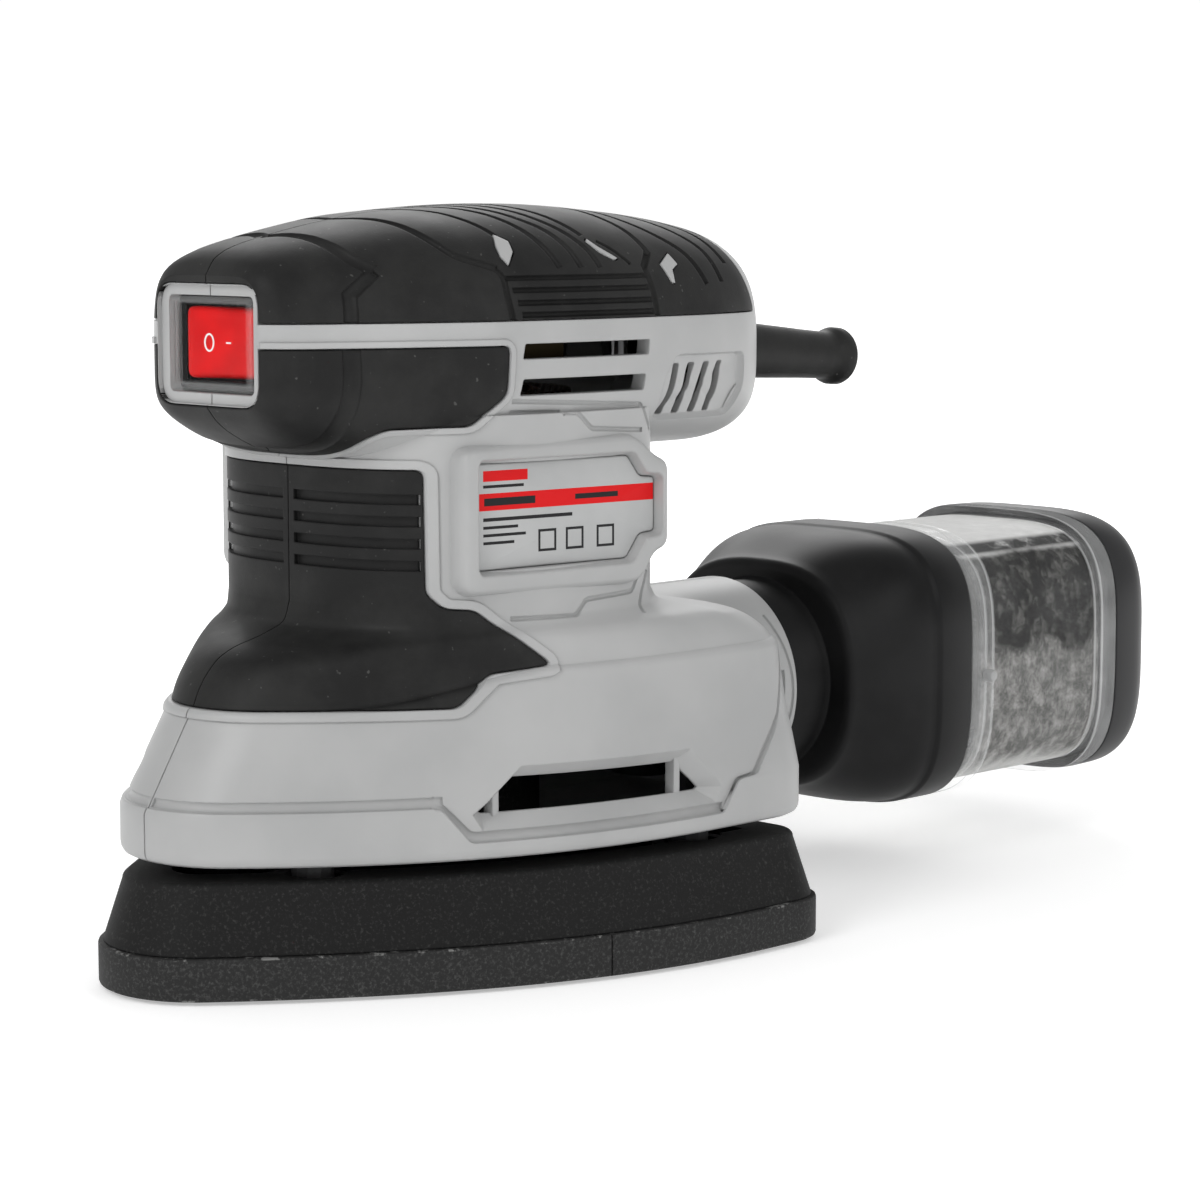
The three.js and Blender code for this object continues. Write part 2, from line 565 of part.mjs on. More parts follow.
const upper = bearing.upper;
add('upper_bearing', ring(upper.radius, shaft.radius + gap, upper.low, upper.high), 'steel');
const lower = bearing.lower;
add('lower_bearing', ring(lower.radius, shaft.radius + gap, lower.low, lower.high), 'steel');
const motorPlate = () => union([
  ring(baffle.radius, 8, baffle.low, baffle.low + baffle.thick, 20),
  ring(lower.radius + gap + 2.2, lower.radius + gap, baffle.low + 0.5, lower.high),
]);
add('motor_plate', motorPlate(), 'nylon');

for (const [side, word] of [[1, 'left'], [-1, 'right']]) {
  const turn = (part) => (side > 0 ? part : mirrorX(part));
  const z = (commutator.low + commutator.high) / 2;
  const start = commutator.radius + 2;
  const holder = block([start, -4.6, z - 4.6], [25.4, 4.6, z + 4.6])
    .subtract(block([start - 1, -3.1, z - 3.1], [23.8, 3.1, z + 3.1]));
  add(`brush_holder_${word}`, turn(holder), 'brass');
  add(`carbon_brush_${word}`, turn(block([commutator.radius + gap, -2.8, z - 2.8], [18, 2.8, z + 2.8])), 'carbon');
  const coil = [];
  const coilSteps = 16;
  for (let i = 0; i <= coilSteps; i += 1) {
    const angle = (i / coilSteps) * Math.PI * 2 * 3;
    coil.push(new THREE.Vector3(18.9 + (i / coilSteps) * 4, 2 * Math.cos(angle), z + 2 * Math.sin(angle)));
  }
  const wire = new THREE.Shape();
  wire.absarc(0, 0, 0.35, 0, Math.PI * 2);
  const spring = new THREE.ExtrudeGeometry(wire, {
    extrudePath: new THREE.CatmullRomCurve3(coil), steps: coilSteps, curveSegments: 4, bevelEnabled: false,
  });
  add(`brush_spring_${word}`, turn(solid(spring)), 'steel');
}

// ---- Support legs -------------------------------------------------------
for (const [k, end] of ['front', 'rear'].entries()) {
  for (const [side, word] of [[1, 'left'], [-1, 'right']]) {
    const [x, y] = legPlaces[k];
    const post = union([
      rod(leg.radius, leg.bottom, leg.top, side * x, y, legSides),
      rod(leg.radius - 0.8, leg.bottom, leg.bottom + 0.5, side * x, y, legSides),
    ]);
    add(`support_leg_${end}_${word}`, post, 'nylon');
  }
}

// ---- Pad ----------------------------------------------------------------
const padPlan = teardrop(pad);
const rimPlan = shrink(padPlan, 4.2);
const padHoles = [[0, -50], [0, 34], ...[-1, 1].flatMap((side) => [[side * 18, -24], [side * 27, 12], [side * 30, 33]])];
const holeRods = (radius) => union(padHoles.map(([x, y]) => rod(radius, -5, pad.top - 8, x, y, 10)));

const padCarrier = () => {
  const flangeTop = pad.flange + gap;
  const outer = loft([
    flatRing(shrink(padPlan, 1.2), flangeTop), flatRing(shrink(padPlan, 1.8), flangeTop + 1.2),
    flatRing(shrink(rimPlan, 0), pad.top - 0.8), flatRing(shrink(rimPlan, 0.8), pad.top),
  ]);
  const inner = loft([
    flatRing(shrink(padPlan, 1.8 + pad.wall), flangeTop + 2.6), flatRing(shrink(rimPlan, pad.wall), pad.top + 2),
  ]);
  const hub = rod(padBearing.radius + gap + 2.6, flangeTop, eccentric.high, orbit, 0, 16);
  const ribs = [block([-pad.halfWidth, -1.2, flangeTop], [pad.halfWidth, 1.2, pad.top - 3]),
    block([-1.2, pad.nose, flangeTop], [1.2, pad.rear, pad.top - 3])];
  const cups = union(legPlaces.flatMap(([x, y]) => [-1, 1].map((side) =>
    rod(leg.radius + leg.sway + 2, flangeTop, pad.top - 1, side * x + orbit, y, legSides))));
  const sockets = union(legPlaces.flatMap(([x, y]) => [-1, 1].map((side) =>
    rod(leg.radius + leg.sway, leg.bottom - 1, pad.top + 5, side * x + orbit, y, legSides))));
  const tray = outer.subtract(inner);
  const inside = union([...ribs, cups]).intersect(outer);
  return union([tray, inside, hub])
    .subtract(sockets)
    .subtract(rod(padBearing.radius + gap, eccentric.low - gap, eccentric.high + 5, orbit, 0, 16))
    .subtract(rod(eccentric.journal + 2, pad.flange + 4, eccentric.low, orbit, 0, 16))
    .subtract(holeRods(hook.hole - 0.4));
};
add('pad_carrier', padCarrier(), 'black');
add('pad_bearing', rod(padBearing.radius, eccentric.low, eccentric.high - gap, orbit, 0, 16)
  .subtract(rod(eccentric.journal + gap, 0, 60, orbit, 0, 16)), 'steel');

const plateVolume = (low, high, inset) => loft([
  flatRing(shrink(padPlan, inset + 0.5), low), flatRing(shrink(padPlan, inset), low + 0.8),
  flatRing(shrink(padPlan, inset), high - 0.8), flatRing(shrink(padPlan, inset + 0.6), high),
]);
const screwSpots = [[0, -34], [0, -18], [22, 38], [-22, 38]];
const plateScrewHoles = (radius, low, high) => union(screwSpots.map(([x, y]) => rod(radius, low, high, x, y, 14)));
const frontHalf = block([-90, -120, -5], [90, tipSeam - gap / 2, 60]);
const rearHalf = block([-90, tipSeam + gap / 2, -5], [90, 120, 60]);
const plates = plateVolume(hook.thickness + gap, pad.flange, 0)
  .subtract(holeRods(hook.hole))
  .subtract(plateScrewHoles(1.9, 0, 20))
  .subtract(plateScrewHoles(3.6, 0, 4.2));
add('tip_plate', plates.intersect(frontHalf), 'black');
add('rear_plate', plates.intersect(rearHalf), 'black');
const hooks = loft([flatRing(shrink(padPlan, 0.6), 0), flatRing(shrink(padPlan, 0.6), hook.thickness)])
  .subtract(holeRods(hook.hole));
add('tip_hook_layer', hooks.intersect(frontHalf), 'foam');
add('rear_hook_layer', hooks.intersect(rearHalf), 'foam');
screwSpots.forEach(([x, y], k) => {
  const pin = rod(1.6, 3, pad.flange - 0.2, x, y, 10).add(rod(3.2, hook.thickness + 0.6, 4.2 - gap, x, y, 14));
  add(`plate_screw_${k + 1}`, pin, 'steel');
});

// ---- Dust box -----------------------------------------------------------
const boxSection = (y, inset, power = box.power) =>
  section(y, box.halfWidth - inset, box.z - box.halfHeight + inset, box.z + box.halfHeight - inset, power);
const faceSection = (y, inset) => section(y, box.faceHalfWidth - inset, box.z - box.faceHalfHeight + inset,
  box.z + box.faceHalfHeight - inset, 2.6);

const boxLid = () => {
  const outer = loft([faceSection(box.front, 1.5), faceSection(box.front + 1.5, 0), boxSection(box.taper, 0.6, 3),
    boxSection(box.taper + 1, 0), boxSection(box.seam, 0)]);
  const inner = loft([faceSection(box.front + box.wall, box.wall), boxSection(box.taper, 0.8 + box.wall, 3),
    boxSection(box.taper + 1.4, box.wall), boxSection(box.seam + 2, box.wall)]);
  const spigot = rodY(port.bore - gap, port.rear - 14, box.front + 3, 0, port.z);
  const bore = rodY(port.bore - gap - 2, port.rear - 16, box.front + 6, 0, port.z);
  const collar = rodY(port.radius - 1.5, port.rear + gap, box.front + 1, 0, port.z);
  return union([outer, spigot, collar]).subtract(inner).subtract(bore);
};
add('dust_box_lid', boxLid(), 'black');

const sealY = port.rear - 5;
add('port_seal', rodY(port.bore - 0.1, sealY, sealY + 2, 0, port.z)
  .subtract(rodY(port.bore - gap + 0.05, sealY - 1, sealY + 4, 0, port.z)), 'black');

const container = () => {
  const start = box.seam + gap;
  const lipInset = box.wall + gap;
  const outer = loft([boxSection(start - box.lip, lipInset), boxSection(start, lipInset), boxSection(start + 0.01, 0),
    boxSection(box.capSeam - gap, 0)]);
  const inner = loft([boxSection(start - box.lip - 1, lipInset + box.clearWall),
    boxSection(start, lipInset + box.clearWall), boxSection(start + 2, box.clearWall),
    boxSection(box.capSeam + 1, box.clearWall)]);
  return outer.subtract(inner);
};
add('dust_container', container(), 'clear');

const boxCap = () => {
  const outer = loft([boxSection(box.capSeam, 0), boxSection(box.rear - 5, 0.8), boxSection(box.rear - 1.5, 3),
    boxSection(box.rear, 6)]);
  const hollow = loft([boxSection(box.capSeam - 6, box.clearWall + gap + 2), boxSection(box.rear - 6, 4.5),
    boxSection(box.rear - box.wall - 0.5, 7)]);
  const spigot = loft([boxSection(box.capSeam - 5, box.clearWall + gap), boxSection(box.capSeam + 0.1, box.clearWall + gap)]);
  return outer.add(spigot).subtract(hollow);
};
add('dust_box_cap', boxCap(), 'black');

const frameFront = box.taper + 1.6;
const frameRear = frameFront + 2.4;
const filterFrame = () => loft([boxSection(frameFront, box.wall + gap), boxSection(frameRear, box.wall + gap)])
  .subtract(block([-15, frameFront - 5, box.z - 15], [15, frameRear + 5, box.z + 15]));
add('filter_frame', filterFrame(), 'nylon');

const filterBag = () => {
  const start = frameRear + gap;
  const soft = (y, inset) => section(y, 19 - inset, box.z - 18 + inset, box.z + 18 - inset, 3);
  return loft([soft(start, 1), soft(start + 4, 0), soft(box.capSeam - 12, 0), soft(box.capSeam - 8, 3)]);
};
add('dust_filter', filterBag(), 'fibre');

export default sander;
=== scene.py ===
import json
import math

import bpy
import numpy as np
from mathutils import Matrix, Vector
from mathutils.bvhtree import BVHTree


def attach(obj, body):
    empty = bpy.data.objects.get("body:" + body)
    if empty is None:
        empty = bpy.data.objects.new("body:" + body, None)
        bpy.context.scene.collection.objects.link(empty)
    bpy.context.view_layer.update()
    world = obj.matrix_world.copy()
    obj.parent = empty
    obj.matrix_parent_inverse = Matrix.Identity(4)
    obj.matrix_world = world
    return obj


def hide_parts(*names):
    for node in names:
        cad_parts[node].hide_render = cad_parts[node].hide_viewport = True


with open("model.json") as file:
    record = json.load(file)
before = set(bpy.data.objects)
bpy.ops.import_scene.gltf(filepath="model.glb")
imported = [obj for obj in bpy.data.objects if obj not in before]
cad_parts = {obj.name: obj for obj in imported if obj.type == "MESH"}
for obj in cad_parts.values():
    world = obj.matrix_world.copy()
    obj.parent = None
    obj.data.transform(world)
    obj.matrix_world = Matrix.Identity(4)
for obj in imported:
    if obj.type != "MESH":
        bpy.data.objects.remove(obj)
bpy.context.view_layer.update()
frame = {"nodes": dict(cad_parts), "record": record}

# ---- Camera and studio --------------------------------------------------
# A long lens looks down a little from the nose's left corner, with the tool on a pale card.
# Two soft boxes light it, one high at the front left and one behind the dust box, in a white room.
camera = bpy.data.objects.new("camera", bpy.data.cameras.new("camera"))
bpy.context.scene.collection.objects.link(camera)
camera.data.lens = 99
camera.data.sensor_width = 36
camera.data.clip_end = 20
camera.location = (0.4324, -0.3935, 0.1315)
camera.rotation_euler = (math.radians(90 - 7), 0, math.radians(45))
bpy.context.scene.camera = camera
bpy.context.scene.view_settings.view_transform = "Standard"


def soft_box(name, place, aim, width, height, power):
    lamp = bpy.data.objects.new(name, bpy.data.lights.new(name, "AREA"))
    bpy.context.scene.collection.objects.link(lamp)
    lamp.data.shape = "RECTANGLE"
    lamp.data.size, lamp.data.size_y = width, height
    lamp.data.energy = power
    lamp.location = place
    lamp.rotation_euler = (Vector(aim) - Vector(place)).to_track_quat("-Z", "Y").to_euler()


soft_box("key_light", (0.15, -0.95, 0.75), (0, 0, 0.06), 0.5, 0.5, 4.6)
soft_box("side_light", (1.0, 0.15, 0.6), (0, 0.03, 0.06), 0.5, 0.6, 2.2)
soft_box("rim_light", (-0.7, 0.7, 0.6), (0, 0.05, 0.06), 0.6, 0.4, 2.4)


class Wire:
    """A shader value that Python arithmetic can be written on."""

    def __init__(self, shade, socket):
        self.shade, self.socket = shade, socket

    def reckon(self, operation, *values):
        return self.shade.node("ShaderNodeMath", {"operation": operation}, dict(enumerate(values)))

    def __add__(self, other):
        return self.reckon("ADD", self, other)

    def __sub__(self, other):
        return self.reckon("SUBTRACT", self, other)

    def __rsub__(self, other):
        return self.reckon("SUBTRACT", other, self)

    def __mul__(self, other):
        return self.reckon("MULTIPLY", self, other)

    def __truediv__(self, other):
        return self.reckon("DIVIDE", self, other)

    def __abs__(self):
        return self.reckon("ABSOLUTE", self)

    def __gt__(self, other):
        return self.reckon("GREATER_THAN", self, other)

    def __lt__(self, other):
        return self.reckon("LESS_THAN", self, other)

    def __or__(self, other):
        """The larger of two masks."""
        return self.reckon("MAXIMUM", self, other)

    def over(self, low, high):
        """0 below low, 1 above high, smooth between; low may be the larger."""
        return self.shade.node("ShaderNodeMapRange", {"interpolation_type": "SMOOTHSTEP"},
                               {"Value": self, "From Min": low, "From Max": high})

    __radd__, __rmul__ = __add__, __mul__


class Shade:
    """A node material; its finish goes on one Principled shader."""

    def __init__(self, name, **constants):
        self.material = bpy.data.materials.new(name)
        self.material.use_nodes = True
        self.tree = self.material.node_tree
        self.surface = self.tree.nodes["Principled BSDF"]
        self.place = self.node("ShaderNodeTexCoord", {}, {}, "Object")
        self.set(self.surface, constants)

    def set(self, node, values):
        for name, value in values.items():
            socket = node.inputs[name.replace("_", " ") if isinstance(name, str) else name]
            if isinstance(value, Wire):
                self.tree.links.new(value.socket, socket)
            else:
                socket.default_value = value

    def node(self, kind, settings, values, output=0):
        made = self.tree.nodes.new(kind)
        for name, value in settings.items():
            if name == "stops":
                while len(made.color_ramp.elements) < len(value):
                    made.color_ramp.elements.new(0.5)
                for stop, (at, colour) in zip(made.color_ramp.elements, value):
                    stop.position, stop.color = at, colour
            else:
                setattr(made, name, value)
        self.set(made, values)
        return Wire(self, made.outputs[output])

    def noise(self, scale, detail=3.0, roughness=0.5):
        values = {"Vector": self.place, "Scale": scale, "Detail": detail, "Roughness": roughness}
        return self.node("ShaderNodeTexNoise", {}, values)

    def axis(self, letter):
        parts = self.node("ShaderNodeSeparateXYZ", {}, {"Vector": self.place})
        return Wire(self, parts.socket.node.outputs[letter])

    def mix(self, share, first, second):
        """Between two colours, each a tuple or a Wire."""
        ends = [colour if isinstance(colour, Wire) else (*colour, 1) for colour in (first, second)]
        return self.node("ShaderNodeMix", {"data_type": "RGBA"}, {0: share, 6: ends[0], 7: ends[1]}, 2)

    def finish(self, base, roughness, bumps=(), edge=None):
        """The colour and roughness, bumps as (height, strength, distance), and a radius to soften edges."""
        base = base if isinstance(base, Wire) else (*base, 1)
        self.set(self.surface, {"Base_Color": base, "Roughness": roughness})
        normal = None
        if edge:
            normal = self.node("ShaderNodeBevel", {"samples": 4}, {"Radius": edge})
        for height, strength, distance in bumps:
            values = {"Height": height, "Strength": strength, "Distance": distance}
            if normal:
                values["Normal"] = normal
            normal = self.node("ShaderNodeBump", {}, values)
        if normal:
            self.set(self.surface, {"Normal": normal})
        return self.material


# The card glows as painted light: half as much within 10 cm of the tool, rising to full at half a metre, so
# the far floor reads white.
card = Shade("white_card", Emission_Strength=0.8)
far_off = card.node("ShaderNodeVectorMath", {"operation": "LENGTH"}, {0: card.place}, 1).over(0.1, 0.5)
card.set(card.surface, {"Emission_Color": card.mix(far_off, (0.5, 0.5, 0.5), (1, 1, 1))})
card.finish((0.86, 0.86, 0.86), 0.9)
reach, drop = 6, -3e-4
corners = [(-reach, -reach, drop), (reach, -reach, drop), (reach, reach, drop), (-reach, reach, drop)]
floor_mesh = bpy.data.meshes.new("floor")
floor_mesh.from_pydata(corners, [], [(0, 1, 2, 3)])
floor_mesh.materials.append(card.material)
floor = bpy.data.objects.new("floor", floor_mesh)
bpy.context.scene.collection.objects.link(floor)
room = bpy.data.worlds.new("room")
bpy.context.scene.world = room
room.use_nodes = True
add, link = room.node_tree.nodes.new, room.node_tree.links.new
backdrop = room.node_tree.nodes["Background"]
backdrop.inputs["Color"].default_value = (1, 1, 1, 1)
where, toward, fade = add("ShaderNodeTexCoord"), add("ShaderNodeVectorMath"), add("ShaderNodeMapRange")
toward.operation = "DOT_PRODUCT"
toward.inputs[1].default_value = (-0.707, 0.707, 0)
fade.interpolation_type = "SMOOTHSTEP"
for name, value in (("From Min", 0.4), ("From Max", 0.9), ("To Min", 0.5), ("To Max", 1.02)):
    fade.inputs[name].default_value = value
link(where.outputs["Generated"], toward.inputs[0])
link(toward.outputs["Value"], fade.inputs["Value"])
link(fade.outputs["Result"], backdrop.inputs["Strength"])

# ---- Housing shells -----------------------------------------------------
# Two light grey moulded halves meet at the centre plane: a head over a waisted neck, a skirt that flares
# onto a teardrop foot, and a round dust port at the back. The left half is made and mirrored for the right.
MM = 0.001
seam = 0.12
grip_skin = 1.4
shell_wall = 3.0


def piece_from(name, points, faces):
    """An object from points in millimetres."""
    mesh = bpy.data.meshes.new(name)
    mesh.from_pydata((np.asarray(points) * MM).tolist(), [], faces)
    made = bpy.data.objects.new(name, mesh)
    bpy.context.scene.collection.objects.link(made)
    return made


def loft(name, rings):
    """A closed solid over rings of equal point count."""
    count = len(rings[0])
    points = [*np.concatenate(rings), np.mean(rings[0], 0), np.mean(rings[-1], 0)]
    faces = []
    for k in range(len(rings) - 1):
        for i in range(count):
            a, b = k * count + i, k * count + (i + 1) % count
            faces.append((a, b, b + count, a + count))
    last = (len(rings) - 1) * count
    for i in range(count):
        j = (i + 1) % count
        faces.append((len(points) - 2, j, i))
        faces.append((len(points) - 1, last + i, last + j))
    made = piece_from(name, points, faces)
    volume = sum(p.center.dot(p.normal) * p.area for p in made.data.polygons)
    if volume < 0:
        made.data.flip_normals()
    return made


def prism(outline, low, high, axis=0):
    """An outline in the plane across an axis, pushed along it. Across X it is (y, z), across Z (x, y)."""
    flat = np.asarray(outline, float)
    rings = [np.insert(flat, axis, x, axis=1) for x in (low, high)]
    return loft("prism", rings)


def combine(piece, operation, *tools):
    for tool in tools:
        change = piece.modifiers.new("tool", "BOOLEAN")
        change.solver = "MANIFOLD"
        change.operation = operation
        change.object = tool
    view = bpy.context.evaluated_depsgraph_get()
    piece_mesh = bpy.data.meshes.new_from_object(piece.evaluated_get(view))
    piece.modifiers.clear()
    piece.data = piece_mesh
    for tool in tools:
        bpy.data.objects.remove(tool)
    return piece


def copy(piece, mirrored=False):
    made = bpy.data.objects.new(piece.name, piece.data.copy())
    bpy.context.scene.collection.objects.link(made)
    if mirrored:
        flip = np.empty(len(made.data.vertices) * 3)
        made.data.vertices.foreach_get("co", flip)
        flip[0::3] *= -1
        made.data.vertices.foreach_set("co", flip)
        made.data.flip_normals()
    return made


def soften(piece, angle=32):
    piece.data.polygons.foreach_set("use_smooth", [True] * len(piece.data.polygons))
    piece.data.set_sharp_from_angle(angle=math.radians(angle))
    return piece


def oblong(x, y, half_x, half_y):
    """The corners of a rectangle round a point."""
    return [(x - half_x, y - half_y), (x + half_x, y - half_y), (x + half_x, y + half_y),
            (x - half_x, y + half_y)]


def rounded(corners, radius, closed=True, steps=5):
    """A line through corners, each eased by a short curve."""
    corners = np.asarray(corners, float)
    made = []
    for i, corner in enumerate(corners):
        if not closed and i in (0, len(corners) - 1):
            made.append(corner)
            continue
        back, ahead = corners[i - 1] - corner, corners[(i + 1) % len(corners)] - corner
        lengths = np.linalg.norm(back), np.linalg.norm(ahead)
        reach = min(radius, 0.48 * min(lengths))
        start, end = corner + back / lengths[0] * reach, corner + ahead / lengths[1] * reach
        for t in np.linspace(0, 1, steps + 1):
            made.append((1 - t) ** 2 * start + 2 * t * (1 - t) * corner + t * t * end)
    return np.array(made)


def grow(outline, distance):
    """A closed outline moved outward, with mitred corners."""
    points = np.asarray(outline, float)
    ahead = np.roll(points, -1, 0) - points
    ahead /= np.linalg.norm(ahead, axis=1)[:, None]
    x, y = points.T
    turn = np.sign(np.sum(x * np.roll(y, -1) - y * np.roll(x, -1)))
    out = np.stack([ahead[:, 1], -ahead[:, 0]], 1) * turn
    before = np.roll(out, 1, 0)
    mitre = (before + out) / np.maximum(0.5, 1 + (before * out).sum(1))[:, None]
    return points + mitre * distance


def through(stations, where):
    """Smooth values at places between stations, without overshoot."""
    table = np.asarray(stations, float)
    x, values = table[:, 0], table[:, 1:]
    where = np.clip(where, x[0], x[-1])
    rise = np.diff(values, axis=0) / np.diff(x)[:, None]
    slope = np.zeros_like(values)
    slope[0], slope[-1] = rise[0], rise[-1]
    same = rise[:-1] * rise[1:] > 0
    both = rise[:-1] + rise[1:]
    slope[1:-1] = np.where(same, 2 * rise[:-1] * rise[1:] / np.where(both == 0, 1, both), 0)
    k = np.clip(np.searchsorted(x, where) - 1, 0, len(x) - 2)
    step = (x[k + 1] - x[k])[:, None]
    t = ((where - x[k]) / (x[k + 1] - x[k]))[:, None]
    return (values[k] * (1 + 2 * t) * (1 - t) ** 2 + slope[k] * step * t * (1 - t) ** 2
            + values[k + 1] * t * t * (3 - 2 * t) + slope[k + 1] * step * t * t * (t - 1))


def section(y, half_width, low, high, power, middle=None, low_power=None, count=160):
    """A soft rectangle across Y, as points round it."""
    middle = (low + high) / 2 if middle is None else middle
    angle = np.linspace(0, 2 * np.pi, count, endpoint=False)
    c, s = np.cos(angle), np.sin(angle)
    bend = 2 / np.where(s > 0, power, low_power or power)
    rise = np.where(s > 0, high - middle, middle - low)
    return np.stack([half_width * np.sign(c) * abs(c) ** bend, np.full(count, y),
                     middle + rise * np.sign(s) * abs(s) ** bend], 1)


def teardrop(half_width, nose, nose_radius, nose_angle, widest, rear, corner, fine=1):
    """A round nose, two bowed flanks and a straight rear with round corners, seen from above."""
    angle = math.radians(nose_angle)
    turn = np.linspace(-math.pi / 2, angle - math.pi / 2, 16 * fine)
    tip = np.stack([nose_radius * np.cos(turn), nose + nose_radius + nose_radius * np.sin(turn)], 1)
    start, end = tip[-1], np.array([half_width, widest])
    bend = np.array([half_width, start[1] + (half_width - start[0]) * math.tan(angle)])
    t = np.linspace(0, 1, 44 * fine)[1:, None]
    flank = (1 - t) ** 2 * start + 2 * t * (1 - t) * bend + t * t * end
    turn = np.linspace(0, math.pi / 2, 14 * fine)
    round_end = np.stack([half_width - corner + corner * np.cos(turn),
                          rear - corner + corner * np.sin(turn)], 1)
    straight = np.linspace(round_end[-1], (0, rear), 10 * fine)[1:]
    right = np.concatenate([tip, flank, round_end, straight])
    left = right[1:-1][::-1] * (-1, 1)
    return np.concatenate([right, left])


def blend(a, b, share):
    return a + (b - a) * share


def smooth(value, low, high):
    t = np.clip((value - low) / (high - low), 0, 1)
    return t * t * (3 - 2 * t)


foot_plan = teardrop(48, -67.5, 20, 46, 22, 49, 13)
foot_step = 31.0
neck_middle, neck_half, neck_front, neck_rear, neck_low = 8.0, 34.6, -36.0, 28.5, 62.9


def neck_plan():
    x, y = foot_plan.T
    angle = np.arctan2(y - neck_middle, x)
    span = np.where(y < neck_middle, neck_middle - neck_front, neck_rear - neck_middle)
    power = 2.9
    radius = (abs(np.cos(angle) / neck_half) ** power + abs(np.sin(angle) / span) ** power) ** (-1 / power)
    return np.stack([radius * np.cos(angle), neck_middle + radius * np.sin(angle)], 1)


shoulder_plan = np.stack([foot_plan[:, 0] * 0.895,
                          foot_plan[:, 1] * blend(0.862, 0.985, smooth(foot_plan[:, 1], 5, 45))], 1)


def shoulder_height(y):
    return 46.7 + 6.3 * smooth(y, -54, -8)


def raised(plan, height):
    return np.stack([plan[:, 0], plan[:, 1], np.broadcast_to(height, len(plan))], 1)


def foot_hull(inset):
    low = grow(foot_plan, -0.9 - inset)
    rings = [raised(grow(foot_plan, -2.2 - inset), 22.3), raised(grow(foot_plan, -1.1 - inset), 22.8),
             raised(low, foot_step)]
    ease = 1.8
    top = shoulder_height(foot_plan[:, 1])
    wall_top = grow(shoulder_plan, -inset)
    for share in np.linspace(0.1, 1, 10):
        height = blend(foot_step, top - ease, share)
        rings.append(raised(blend(low, wall_top, share), height - inset * share))
    for turn in np.linspace(0, math.pi / 2, 9)[1:]:
        rings.append(raised(grow(shoulder_plan, -inset - ease * (1 - math.cos(turn))),
                            top - ease + ease * math.sin(turn) - inset))
    return loft("foot", rings)


def skirt_hull(inset):
    flare = [[0, 0], [0.2, 0.07], [0.46, 0.24], [0.58, 0.42], [0.68, 0.72], [0.8, 0.94], [1, 1]]
    base, neck = grow(shoulder_plan, -1.0), neck_plan()
    start = shoulder_height(base[:, 1]) - 0.4
    rings = [raised(grow(base, -inset - 2), start - 6)]
    for rise in np.linspace(0, 1, 34):
        share = through(flare, np.array([rise]))[0, 0]
        plan = grow(blend(base, neck, share), -inset)
        rings.append(raised(plan, start + (neck_low - start) * rise - inset))
    for height in np.linspace(neck_low, 95, 18)[1:]:
        rings.append(raised(grow(neck, -inset), height))
    return loft("skirt", rings)


head_front, head_rear, head_middle = -53.0, 62.5, 104.0
head_stations = [  # from the front: half width, underside, top, squareness
    [0, 13.6, 96.4, 118.4, 6], [1.8, 16.6, 94.2, 121, 4], [5.5, 19.6, 91.6, 122.9, 3.2],
    [12, 23.2, 88.8, 124.6, 2.9], [22, 28, 87, 126.6, 2.7], [36, 32.8, 87, 128.6, 2.7],
    [62, 35, 87, 130, 2.7], [82, 34.2, 86.6, 128.8, 2.7], [97, 31.2, 86.4, 126.8, 2.8],
    [106, 26.2, 87.8, 124.2, 2.9], [111, 20, 90.4, 120.8, 2.8], [114, 11, 95, 115, 2.4],
]


def head_hull(inset):
    along = np.concatenate([np.linspace(0, 12, 22)[:-1], np.linspace(12, 97, 72)[:-1],
                            np.linspace(97, 114, 26)])
    shape = through(head_stations, along)
    length = head_rear - head_front
    rings = []
    for at, (half_width, low, high, power) in zip(along, shape):
        y = head_front + 0.9 * inset + at * (length - 1.8 * inset) / length
        rings.append(section(y, half_width - inset, low + inset, high - inset, power, head_middle,
                             power + 0.5))
    return loft("head", rings)


port_radius, port_z, port_rear = 20.2, 38.0, 72.5
tunnel_stations = [  # y, half width, underside, top, squareness
    [4, 37, 34, 58, 2.6], [26, 38, 30, 59, 2.5], [40, 33, 22, 58.8, 2.3], [52, 20.8, 17.8, 58.2, 2],
    [60, 20.2, 17.8, 58.2, 2], [port_rear, 20.2, 17.8, 58.2, 2],
]


def tunnel_hull(inset):
    ends = np.linspace(4, port_rear, 40)
    shape = through(tunnel_stations, ends)
    ease = 0.9
    rings = [section(y, w - inset, low + inset, high - inset, power, count=112)
             for y, (w, low, high, power) in zip(ends, shape)]
    if inset:
        rings.append(rings[-1] + (0, 3, 0))
    else:
        rings[-1] = rings[-1] - (0, ease, 0)
        rings.append(section(port_rear, port_radius - ease, port_z - port_radius + ease,
                             port_z + port_radius - ease, 2, count=112))
    return loft("tunnel", rings)


def left_half(piece):
    size = 200
    return combine(piece, "INTERSECT", prism(oblong(0, 0, size, size), seam, size))


def hull(inset):
    return left_half(combine(foot_hull(inset), "UNION", skirt_hull(inset), head_hull(inset),
                             tunnel_hull(inset)))


